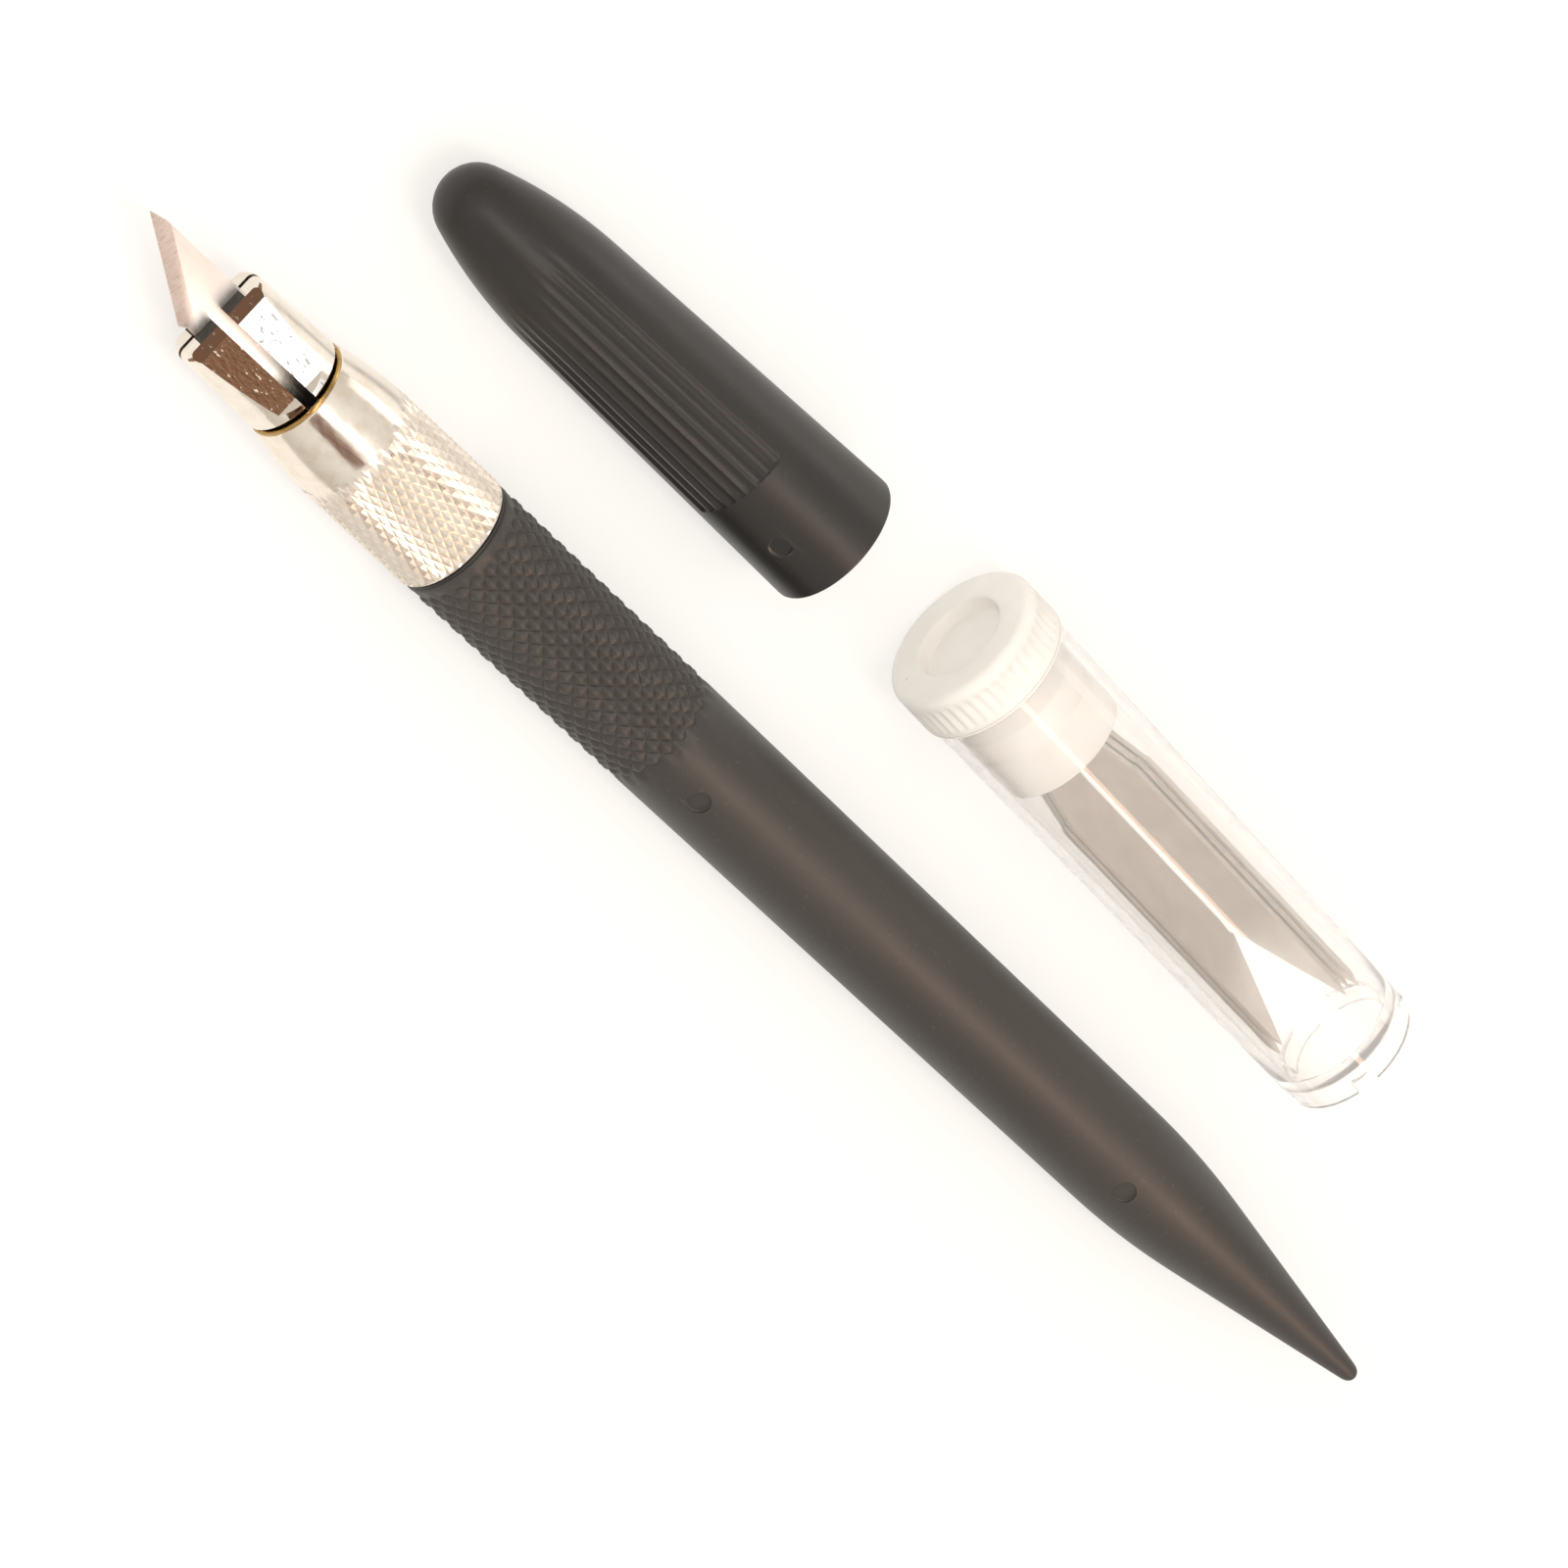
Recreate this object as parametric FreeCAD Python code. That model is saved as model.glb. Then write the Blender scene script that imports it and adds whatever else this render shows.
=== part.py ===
import FreeCAD
import Part
import math
import os

# A hobby craft knife with its push-on cap and its vial of spare blades, lying side by side on a surface.
# Millimetres. The knife lies along X with the blade's point at -X, +Z is up and z = 0 is the surface.
# The origin is the middle of the set's footprint. Lengths called *_X are measured from the blade's
# point along the knife; those called *_S run along the cap's or the vial's own axis from its -X end.

# --- the knife as a whole
KNIFE_LENGTH = 170.5
SLEEVE_R = 6.1                  # largest radius, where the knife rests on the surface
RUNNING_GAP = 0.06              # radial clearance of turning and sliding fits
FACE_GAP = 0.1                  # clearance between faces that part from each other

# --- blade: a 30 degree point on a strip of standard width, clamped by its tang
BLADE_LENGTH = 38.0
BLADE_THICKNESS = 0.5
BLADE_SPINE_Y = 3.0             # spine and heel stand this far each side of the axis
BLADE_SHANK_Y = 2.6             # the shank behind the heel is a little narrower
BLADE_POINT_DROP = 0.4          # the point lies this far below the line of the spine
BLADE_POINT_RUN = 1.9           # length over which the spine falls to the point
BLADE_POINT_ANGLE = 30.0
HEEL_CHAMFER = 0.6
TANG_SLANT = 5.0                # length of the slanted corner at the tang's end
TANG_SLANT_DROP = 1.3
TANG_STEP = 0.3

# --- collet: four jaws on spring legs, standing on a threaded stem
HEAD_FRONT_X = 11.4
HEAD_REAR_X = 21.4
HEAD_FRONT_R = 4.87
HEAD_REAR_R = 5.07
HEAD_EDGE = 0.75                # rounding of the head's front edge
BLADE_SLOT_HALF = 0.28
CROSS_SLOT_HALF = 0.62
FLAT_FRONT_Z = 2.75             # height of the milled flats above the axis, at the front
FLAT_REAR_Z = 4.25              # and where they run out
FLAT_REAR_X = 20.5
FLAT_BEVEL = 0.9                # steep bevel where the flats meet the front face
LEG_R = 4.2
LEG_BORE_R = 2.4
LEG_BORE_X = 23.0
LEG_END_X = 33.0
STEM_R = 4.0                    # pitch radius of the stem's thread
STEM_SHOULDER_X = 40.2
KEY_R = 3.2
KEY_FLAT = 2.6                  # flats either side of the stem that stop it from turning
STEM_END_X = 56.0
TANG_POCKET_X = 39.0

# --- chuck sleeve: a knurled nut that turns in place and draws the collet in
SLEEVE_FRONT_X = 22.3
SLEEVE_FRONT_R = 5.15
SLEEVE_FULL_X = 31.0            # from here back the sleeve is a cylinder
SLEEVE_REAR_X = 43.0
LEG_ROOM_R = 4.5
THREAD_FRONT_X = 33.5
BUSH_FRONT_X = 22.0
BUSH_REAR_X = 24.6
BUSH_R = 4.9
BUSH_FLANGE_R = 5.1
BUSH_BORE_R = 4.45
BUSH_CONE = 0.3

# --- collet socket: the insert in the handle that keys the stem and carries the sleeve
SPIGOT_FRONT_X = 40.9
SPIGOT_R = 4.9
SPIGOT_ROOM_X = 40.4            # front end of the sleeve's counterbore for the spigot
SOCKET_R = 4.6
SOCKET_REAR_X = 62.0
SOCKET_BORE_END_X = 60.0
CLIP_X = 41.9                   # middle of the snap ring that keeps the sleeve on the spigot
CLIP_WIDTH = 0.5
CLIP_INNER_R = 4.5
CLIP_OUTER_R = 5.3
CLIP_OPENING = 40.0             # degrees
WASHER_X = 43.05
WASHER_INNER_R = 5.0
WASHER_OUTER_R = 5.85

# --- handle
JOINT_X = 43.3
HANDLE_FRONT_R = 6.0
GRIP_END_X = 71.8
GRIP_END_R = 5.82
BODY_END_X = 137.0
BODY_END_R = 5.34
SHOULDER_X = 143.0
SHOULDER_R = 4.98
TAIL_X = 148.0
TAIL_R = 4.34
TIP_R = 0.9
HANDLE_EDGE = 0.25

# --- cap: a slim tapered cover, lying on the flank of its cone
CAP_LENGTH = 51.5
CAP_FRONT_X = 19.4              # closed end, measured beside the knife
CAP_FRONT_Y = 22.1              # its axis, from the knife's axis
CAP_YAW = 0.5
CAP_MOUTH_R = 6.72
CAP_NOSE_S = 16.0               # the straight cone starts here
CAP_NOSE_R = 5.84
CAP_NOSE_ARC_R = 50.0
CAP_BORE_R = 6.18
CAP_BORE_DEPTH = 11.6
CAP_SEAT_S = 30.5               # the seat's cone takes the sleeve's nose
CAP_SEAT_R = 5.3
CAP_INNER_S = 14.0
CAP_INNER_R = 4.75
CAP_END_WALL = 1.6
CAP_LIP_EDGE = 0.25

# --- vial: a drafted clear tube with a foot ring, closed by a push-in lid
LID_X = 86.3                    # lid's top, measured beside the knife
LID_Y = 23.9
VIAL_YAW = -2.6
LID_R = 7.7
LID_HEIGHT = 5.0
LID_EDGE = 0.85
LID_DISH_R = 4.45
LID_DISH_DEPTH = 1.3
LID_WALL = 1.2
PLUG_LENGTH = 10.0
PLUG_WALL = 1.0
VIAL_LENGTH = 59.8
VIAL_TOP_R = 7.3
VIAL_BASE_R = 6.75
VIAL_WALL = 1.0
VIAL_FLOOR = 1.2
FOOT_DEPTH = 2.0
FOOT_NOTCHES = 4
FOOT_NOTCH_TURN = -10.5         # the first notch stands this far from the top, in degrees about +X
FOOT_NOTCH_WIDTH = 2.2
FOOT_NOTCH_DEPTH = 1.4

# --- spare blades: two leaning stacks, points to the vial's base
SPARE_TIP_S = 56.0
# lean from the horizontal in degrees, distance of the blade's plane from the vial's axis,
# shift across the width, and shift along the vial towards the lid
RIGHT_STACK = [(57.0, 4.3, -0.6, 0.0), (57.0, 3.7, -1.1, 0.7), (57.0, 3.1, -1.45, 0.3)]
LEFT_STACK = [(45.0, 4.5, -0.25, 0.2), (45.0, 3.9, -0.7, 0.9)]

X_AXIS = FreeCAD.Vector(1, 0, 0)
Z_AXIS = FreeCAD.Vector(0, 0, 1)
CENTRE = FreeCAD.Vector(0, 0, 0)


def point(x, r):
    """A point of a turned outline, in the XZ plane."""
    return FreeCAD.Vector(x, 0, r)


def line(a, b):
    return Part.LineSegment(a, b).toShape()


def arc(a, middle, b):
    return Part.Arc(a, middle, b).toShape()


def turned(edges):
    """Solid of revolution about the X axis from a closed outline."""
    return Part.Face(Part.Wire(edges)).revolve(CENTRE, X_AXIS, 360)


def lathe(profile):
    """Solid of revolution about the X axis from (x, r) corners."""
    corners = [point(x, r) for x, r in profile]
    return turned([line(a, b) for a, b in zip(corners, corners[1:] + corners[:1])])


def block(x0, x1, y0, y1, z0, z1):
    return Part.makeBox(x1 - x0, y1 - y0, z1 - z0, FreeCAD.Vector(x0, y0, z0))


def turned_about_x(shape, degrees):
    copy = shape.copy()
    copy.rotate(CENTRE, X_AXIS, degrees)
    return copy


def lying(yaw, pitch, x, y, z):
    """Places a piece made along X: pitch lifts its +X end, then yaw turns that end towards +Y."""
    spin = FreeCAD.Rotation(Z_AXIS, yaw).multiply(FreeCAD.Rotation(FreeCAD.Vector(0, 1, 0), -pitch))
    return FreeCAD.Placement(FreeCAD.Vector(x, y, z), spin)


# ---------------------------------------------------------------- blade

def make_blade():
    """Flat blade in the XY plane, point at x = 0, spine on +Y and cutting edge on -Y."""
    half = BLADE_THICKNESS / 2
    point_y = BLADE_SPINE_Y - BLADE_POINT_DROP
    heel_x = (point_y + BLADE_SPINE_Y) / math.tan(math.radians(BLADE_POINT_ANGLE))
    slant_x = BLADE_LENGTH - TANG_SLANT
    outline = [
        (0.0, point_y),
        (heel_x, -BLADE_SPINE_Y),
        (heel_x + HEEL_CHAMFER, -BLADE_SHANK_Y),
        (BLADE_LENGTH, -BLADE_SHANK_Y),
        (BLADE_LENGTH, BLADE_SPINE_Y - TANG_SLANT_DROP - TANG_STEP),
        (slant_x + TANG_STEP, BLADE_SPINE_Y - TANG_STEP),
        (slant_x, BLADE_SPINE_Y),
        (BLADE_POINT_RUN, BLADE_SPINE_Y),
    ]
    corners = [FreeCAD.Vector(x, y, -half) for x, y in outline]
    face = Part.Face(Part.makePolygon(corners + corners[:1]))
    return face.extrude(FreeCAD.Vector(0, 0, BLADE_THICKNESS))


# ---------------------------------------------------------------- collet

def collet_head():
    """The whole head and its legs before it is slotted into four jaws."""
    edge = HEAD_EDGE * (1 - math.sqrt(0.5))
    cone = HEAD_REAR_R - LEG_R
    front_top = point(HEAD_FRONT_X, HEAD_FRONT_R - HEAD_EDGE)
    edge_middle = point(HEAD_FRONT_X + edge, HEAD_FRONT_R - edge)
    edge_end = point(HEAD_FRONT_X + HEAD_EDGE, HEAD_FRONT_R)
    rear = point(HEAD_REAR_X, HEAD_REAR_R)
    neck = point(HEAD_REAR_X + cone, LEG_R)
    leg_end = point(LEG_END_X, LEG_R)
    bore_end = point(LEG_END_X, LEG_BORE_R)
    bore_front = point(LEG_BORE_X, LEG_BORE_R)
    bore_point = point(LEG_BORE_X, 0)
    nose = point(HEAD_FRONT_X, 0)
    return turned([
        line(nose, front_top), arc(front_top, edge_middle, edge_end), line(edge_end, rear),
        line(rear, neck), line(neck, leg_end), line(leg_end, bore_end),
        line(bore_end, bore_front), line(bore_front, bore_point), line(bore_point, nose),
    ])


def flat_cutter():
    """Everything above the milled flat on the head's upper side, with its steep front bevel."""
    slope = (FLAT_REAR_Z - FLAT_FRONT_Z) / (FLAT_REAR_X - HEAD_FRONT_X)
    bevel_x = HEAD_FRONT_X + FLAT_BEVEL
    run_out_x = FLAT_REAR_X + 0.3 * (LEG_R - BLADE_SLOT_HALF)
    above = HEAD_REAR_R + 1
    outline = [
        (HEAD_FRONT_X - 1, above),
        (HEAD_FRONT_X - 1, FLAT_FRONT_Z - 2 * FLAT_BEVEL),
        (bevel_x, FLAT_FRONT_Z + slope * FLAT_BEVEL),
        (FLAT_REAR_X, FLAT_REAR_Z),
        (run_out_x, above),
    ]
    corners = [FreeCAD.Vector(x, -above, z) for x, z in outline]
    face = Part.Face(Part.makePolygon(corners + corners[:1]))
    return face.extrude(FreeCAD.Vector(0, 2 * above, 0))


def make_jaws():
    """Four jaws, one to each quarter between the blade's slot and the cross slot."""
    head = collet_head().cut(flat_cutter()).cut(turned_about_x(flat_cutter(), 180))
    far = HEAD_REAR_R + 1
    jaws = {}
    number = 0
    for side_z in (1, -1):
        for side_y in (1, -1):
            number += 1
            y0, y1 = sorted((side_y * CROSS_SLOT_HALF, side_y * far))
            z0, z1 = sorted((side_z * BLADE_SLOT_HALF, side_z * far))
            quarter = block(HEAD_FRONT_X - 1, LEG_END_X + 1, y0, y1, z0, z1)
            jaws["jaw_%d" % number] = head.common(quarter)
    return jaws


def key_section(x0, x1, radius, flat):
    """A round bar with two flats, as wide as the radius and as high as the flats."""
    bar = Part.makeCylinder(radius, x1 - x0, FreeCAD.Vector(x0, 0, 0), X_AXIS)
    return bar.common(block(x0, x1, -radius, radius, -flat, flat))


def make_stem():
    front_x = LEG_END_X + FACE_GAP
    screw = Part.makeCylinder(STEM_R, STEM_SHOULDER_X - front_x, FreeCAD.Vector(front_x, 0, 0), X_AXIS)
    stem = screw.fuse(key_section(STEM_SHOULDER_X - 1, STEM_END_X, KEY_R, KEY_FLAT)).removeSplitter()
    tang_half_y = BLADE_SPINE_Y + FACE_GAP
    pocket = block(front_x - 1, TANG_POCKET_X, -tang_half_y, tang_half_y, -BLADE_SLOT_HALF, BLADE_SLOT_HALF)
    return stem.cut(pocket)


# ---------------------------------------------------------------- sleeve and its bearing

def make_sleeve():
    """Knurled nut: nose, room for the jaws' legs, thread, and counterbore with the clip's groove."""
    groove_half = CLIP_WIDTH / 2 + FACE_GAP
    counter_r = SPIGOT_R + RUNNING_GAP
    thread_r = STEM_R + RUNNING_GAP
    nose = point(SLEEVE_FRONT_X, SLEEVE_FRONT_R)
    # The nose is an arc that runs tangent into the cylinder.
    nose_length = SLEEVE_FULL_X - SLEEVE_FRONT_X
    nose_drop = SLEEVE_R - SLEEVE_FRONT_R
    nose_arc_r = (nose_length ** 2 + nose_drop ** 2) / (2 * nose_drop)
    middle_drop = nose_arc_r - math.sqrt(nose_arc_r ** 2 - (nose_length / 2) ** 2)
    nose_middle = point(SLEEVE_FULL_X - nose_length / 2, SLEEVE_R - middle_drop)
    full = point(SLEEVE_FULL_X, SLEEVE_R)
    inside = [
        (SLEEVE_REAR_X, SLEEVE_R),
        (SLEEVE_REAR_X, counter_r),
        (CLIP_X + groove_half, counter_r),
        (CLIP_X + groove_half, CLIP_OUTER_R + FACE_GAP),
        (CLIP_X - groove_half, CLIP_OUTER_R + FACE_GAP),
        (CLIP_X - groove_half, counter_r),
        (SPIGOT_ROOM_X, counter_r),
        (SPIGOT_ROOM_X, thread_r),
        (THREAD_FRONT_X, thread_r),
        (THREAD_FRONT_X, LEG_ROOM_R),
        (BUSH_REAR_X, LEG_ROOM_R),
        (BUSH_REAR_X, BUSH_R),
        (SLEEVE_FRONT_X, BUSH_R),
    ]
    corners = [full] + [point(x, r) for x, r in inside] + [nose]
    edges = [arc(nose, nose_middle, full)]
    edges += [line(a, b) for a, b in zip(corners, corners[1:])]
    return turned(edges)


def make_bush():
    """Brass bush in the sleeve's mouth, with the conical seat that closes the jaws."""
    return lathe([
        (BUSH_FRONT_X, BUSH_BORE_R + BUSH_CONE),
        (BUSH_FRONT_X, BUSH_FLANGE_R),
        (SLEEVE_FRONT_X, BUSH_FLANGE_R),
        (SLEEVE_FRONT_X, BUSH_R),
        (BUSH_REAR_X, BUSH_R),
        (BUSH_REAR_X, BUSH_BORE_R),
        (BUSH_FRONT_X + BUSH_CONE, BUSH_BORE_R),
    ])


def make_socket():
    """Insert moulded into the handle: spigot for the sleeve, keyed bore for the stem."""
    groove_half = CLIP_WIDTH / 2
    body = lathe([
        (SPIGOT_FRONT_X, 0),
        (SPIGOT_FRONT_X, SPIGOT_R),
        (CLIP_X - groove_half, SPIGOT_R),
        (CLIP_X - groove_half, CLIP_INNER_R),
        (CLIP_X + groove_half, CLIP_INNER_R),
        (CLIP_X + groove_half, SPIGOT_R),
        (JOINT_X, SPIGOT_R),
        (JOINT_X, SOCKET_R),
        (SOCKET_REAR_X, SOCKET_R),
        (SOCKET_REAR_X, 0),
    ])
    bore = key_section(SPIGOT_FRONT_X - 1, SOCKET_BORE_END_X, KEY_R + RUNNING_GAP, KEY_FLAT + RUNNING_GAP)
    return body.cut(bore)


def make_clip():
    """Open snap ring in the spigot's groove."""
    half = CLIP_WIDTH / 2
    profile = [(CLIP_X - half, CLIP_INNER_R), (CLIP_X - half, CLIP_OUTER_R)]
    profile += [(CLIP_X + half, CLIP_OUTER_R), (CLIP_X + half, CLIP_INNER_R)]
    corners = [point(x, r) for x, r in profile]
    face = Part.Face(Part.makePolygon(corners + corners[:1]))
    return face.revolve(CENTRE, X_AXIS, 360 - CLIP_OPENING)


def make_washer():
    """Thin ring between the turning sleeve and the handle."""
    profile = [(WASHER_X, WASHER_INNER_R), (WASHER_X, WASHER_OUTER_R)]
    return lathe(profile + [(JOINT_X, WASHER_OUTER_R), (JOINT_X, WASHER_INNER_R)])


# ---------------------------------------------------------------- handle

def make_handle():
    """Moulded handle: straight grip, slightly narrowing body, conical tail with a rounded tip."""
    tip_centre_x = KNIFE_LENGTH - TIP_R
    slope = math.atan((TAIL_R - TIP_R) / (tip_centre_x - TAIL_X))
    cone_end = point(tip_centre_x + TIP_R * math.sin(slope), TIP_R * math.cos(slope))
    tip_middle = point(tip_centre_x + TIP_R * math.sqrt(0.5), TIP_R * math.sqrt(0.5))
    tip = point(KNIFE_LENGTH, 0)
    edge = point(JOINT_X + HANDLE_EDGE, HANDLE_FRONT_R)
    grip_end = point(GRIP_END_X, GRIP_END_R)
    body_end = point(BODY_END_X, BODY_END_R)
    shoulder = point(SHOULDER_X, SHOULDER_R)
    tail = point(TAIL_X, TAIL_R)
    mouth_outer = point(JOINT_X, HANDLE_FRONT_R - HANDLE_EDGE)
    mouth_inner = point(JOINT_X, SOCKET_R)
    pocket_corner = point(SOCKET_REAR_X, SOCKET_R)
    pocket_end = point(SOCKET_REAR_X, 0)
    return turned([
        line(mouth_inner, mouth_outer), line(mouth_outer, edge), line(edge, grip_end),
        line(grip_end, body_end), arc(body_end, shoulder, tail), line(tail, cone_end),
        arc(cone_end, tip_middle, tip), line(tip, pocket_end),
        line(pocket_end, pocket_corner), line(pocket_corner, mouth_inner),
    ])


# ---------------------------------------------------------------- cap

def cap_cone_angle():
    """Half angle of the cap's cone in degrees, which is also how far it tips as it lies."""
    return math.degrees(math.atan((CAP_MOUTH_R - CAP_NOSE_R) / (CAP_LENGTH - CAP_NOSE_S)))


def make_cap():
    """Cap along X with its closed end at 0: a ball end, a long ogive arc, and a straight cone."""
    angle = math.radians(cap_cone_angle())
    ogive_x = CAP_NOSE_S + CAP_NOSE_ARC_R * math.sin(angle)
    ogive_r = CAP_NOSE_R - CAP_NOSE_ARC_R * math.cos(angle)
    ball_r = (CAP_NOSE_ARC_R ** 2 - ogive_x ** 2 - ogive_r ** 2) / (2 * (CAP_NOSE_ARC_R - ogive_x))
    # The ball and the ogive are tangent on the line through their two centres.
    away = math.atan2(-ogive_r, ogive_x - ball_r)
    joint = point(ball_r - ball_r * math.cos(away), ball_r * math.sin(away))
    ball_middle = point(ball_r - ball_r * math.cos(away / 2), ball_r * math.sin(away / 2))
    shoulder_turn = (away + math.pi / 2 - angle) / 2
    ogive_middle = point(ogive_x - CAP_NOSE_ARC_R * math.cos(shoulder_turn),
                         ogive_r + CAP_NOSE_ARC_R * math.sin(shoulder_turn))
    nose = point(0, 0)
    cone_start = point(CAP_NOSE_S, CAP_NOSE_R)
    lip = point(CAP_LENGTH - CAP_LIP_EDGE, CAP_MOUTH_R - CAP_LIP_EDGE * math.tan(angle))
    outside = turned([
        arc(nose, ball_middle, joint), arc(joint, ogive_middle, cone_start), line(cone_start, lip),
        line(lip, point(CAP_LENGTH, CAP_MOUTH_R - CAP_LIP_EDGE)),
        line(point(CAP_LENGTH, CAP_MOUTH_R - CAP_LIP_EDGE), point(CAP_LENGTH, 0)),
        line(point(CAP_LENGTH, 0), nose),
    ])
    inner_nose = point(CAP_END_WALL, 0)
    dome_bulge = CAP_INNER_R * math.sqrt(0.5)
    dome_middle = point(CAP_INNER_S - (CAP_INNER_S - CAP_END_WALL) * math.sqrt(0.5), dome_bulge)
    inner_corners = [point(CAP_INNER_S, CAP_INNER_R), point(CAP_SEAT_S, CAP_SEAT_R),
                     point(CAP_LENGTH - CAP_BORE_DEPTH, CAP_BORE_R), point(CAP_LENGTH + 1, CAP_BORE_R),
                     point(CAP_LENGTH + 1, 0), inner_nose]
    inside_edges = [arc(inner_nose, dome_middle, inner_corners[0])]
    inside_edges += [line(a, b) for a, b in zip(inner_corners, inner_corners[1:])]
    return outside.cut(turned(inside_edges))


# ---------------------------------------------------------------- vial

def vial_wall_r(s):
    """Outer radius of the drafted tube at the distance s from the lid's top."""
    return VIAL_TOP_R + (VIAL_BASE_R - VIAL_TOP_R) * (s - LID_HEIGHT) / (VIAL_LENGTH - LID_HEIGHT)


def make_vial():
    """Tube open towards the lid, closed by a floor above a notched foot ring."""
    floor_s = VIAL_LENGTH - FOOT_DEPTH
    rim_s = LID_HEIGHT + RUNNING_GAP
    tube = lathe([
        (rim_s, vial_wall_r(rim_s) - VIAL_WALL),
        (rim_s, vial_wall_r(rim_s)),
        (VIAL_LENGTH, VIAL_BASE_R),
        (VIAL_LENGTH, VIAL_BASE_R - VIAL_WALL),
        (floor_s, vial_wall_r(floor_s) - VIAL_WALL),
        (floor_s, 0),
        (floor_s - VIAL_FLOOR, 0),
        (floor_s - VIAL_FLOOR, vial_wall_r(floor_s - VIAL_FLOOR) - VIAL_WALL),
    ])
    half = FOOT_NOTCH_WIDTH / 2
    for number in range(FOOT_NOTCHES):
        notch = block(VIAL_LENGTH - FOOT_NOTCH_DEPTH, VIAL_LENGTH + 1, -half, half, 0, VIAL_BASE_R + 1)
        tube = tube.cut(turned_about_x(notch, FOOT_NOTCH_TURN + number * 360 / FOOT_NOTCHES))
    return tube


def make_lid():
    """Push-in lid: dished top, rounded rim, and a hollow plug that fits the tube."""
    rounding = LID_EDGE * (1 - math.sqrt(0.5))
    plug_r = vial_wall_r(LID_HEIGHT) - VIAL_WALL - RUNNING_GAP
    plug_end_s = LID_HEIGHT + PLUG_LENGTH
    plug_end_r = vial_wall_r(plug_end_s) - VIAL_WALL - RUNNING_GAP
    rim_top = point(0, LID_R - LID_EDGE)
    rim_middle = point(rounding, LID_R - rounding)
    rim_side = point(LID_EDGE, LID_R)
    corners = [rim_side, point(LID_HEIGHT, LID_R), point(LID_HEIGHT, plug_r), point(plug_end_s, plug_end_r),
               point(plug_end_s, plug_end_r - PLUG_WALL), point(LID_HEIGHT, plug_r - PLUG_WALL),
               point(LID_DISH_DEPTH + LID_WALL, plug_r - PLUG_WALL), point(LID_DISH_DEPTH + LID_WALL, 0),
               point(LID_DISH_DEPTH, 0), point(LID_DISH_DEPTH, LID_DISH_R - LID_DISH_DEPTH / 2),
               point(0, LID_DISH_R), rim_top]
    edges = [arc(rim_top, rim_middle, rim_side)]
    edges += [line(a, b) for a, b in zip(corners, corners[1:])]
    return turned(edges)


def make_spare_blades():
    """Spare blades in the vial's own frame; the second stack is turned over, its spines to -Y."""
    blades = {}
    number = 0
    for stack, side in ((RIGHT_STACK, 1), (LEFT_STACK, -1)):
        for lean, distance, shift, offset in stack:
            number += 1
            blade = make_blade()
            # Turn the blade end for end so that its point is towards the vial's base.
            blade.rotate(CENTRE, FreeCAD.Vector(0, 1, 0), 180)
            if side < 0:
                blade.rotate(CENTRE, X_AXIS, 180)
            blade.translate(FreeCAD.Vector(SPARE_TIP_S - offset, side * shift, -distance))
            blade.rotate(CENTRE, X_AXIS, side * lean)
            blades["spare_blade_%d" % number] = blade
    return blades


# ---------------------------------------------------------------- the set

def vial_pitch():
    """How far the vial tips as it lies on its lid's rim and on the edge of its foot, in degrees."""
    return -math.degrees(math.atan((LID_R - VIAL_BASE_R) / (VIAL_LENGTH - LID_HEIGHT)))


def footprint_middle_y():
    """Middle of the set across the knife's axis: from the sleeve's flank to the lid's flank."""
    across = math.sin(math.radians(VIAL_YAW))
    lid_flank = LID_Y + LID_EDGE * across + LID_R * math.sqrt(1 - across ** 2)
    return (lid_flank - SLEEVE_R) / 2


def build():
    middle_y = footprint_middle_y()
    knife_place = FreeCAD.Placement(FreeCAD.Vector(-KNIFE_LENGTH / 2, -middle_y, SLEEVE_R), FreeCAD.Rotation())
    cap_pitch = cap_cone_angle()
    cap_z = (CAP_NOSE_R - CAP_NOSE_S * math.tan(math.radians(cap_pitch))) * math.cos(math.radians(cap_pitch))
    cap_place = lying(CAP_YAW, cap_pitch, CAP_FRONT_X - KNIFE_LENGTH / 2, CAP_FRONT_Y - middle_y, cap_z)
    pitch = math.radians(vial_pitch())
    vial_z = LID_R * math.cos(pitch) - LID_HEIGHT * math.sin(pitch)
    vial_place = lying(VIAL_YAW, vial_pitch(), LID_X - KNIFE_LENGTH / 2, LID_Y - middle_y, vial_z)

    knife = {
        "handle": make_handle(),
        "collet_socket": make_socket(),
        "sleeve_clip": make_clip(),
        "thrust_washer": make_washer(),
        "chuck_sleeve": make_sleeve(),
        "sleeve_bush": make_bush(),
        "collet_stem": make_stem(),
        "blade": make_blade(),
    }
    knife.update(make_jaws())
    vial = {"vial_body": make_vial(), "vial_lid": make_lid()}
    vial.update(make_spare_blades())

    nodes = {}
    for group, place in ((knife, knife_place), ({"cap": make_cap()}, cap_place), (vial, vial_place)):
        for name, shape in group.items():
            shape.Placement = place.multiply(shape.Placement)
            nodes[name] = shape
    return nodes


def main():
    os.makedirs("parts", exist_ok=True)
    for name, shape in build().items():
        shape.exportStep("parts/%s.step" % name)


main()
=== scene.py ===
import math

import bmesh
import bpy
from mathutils import Matrix, Vector


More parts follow.
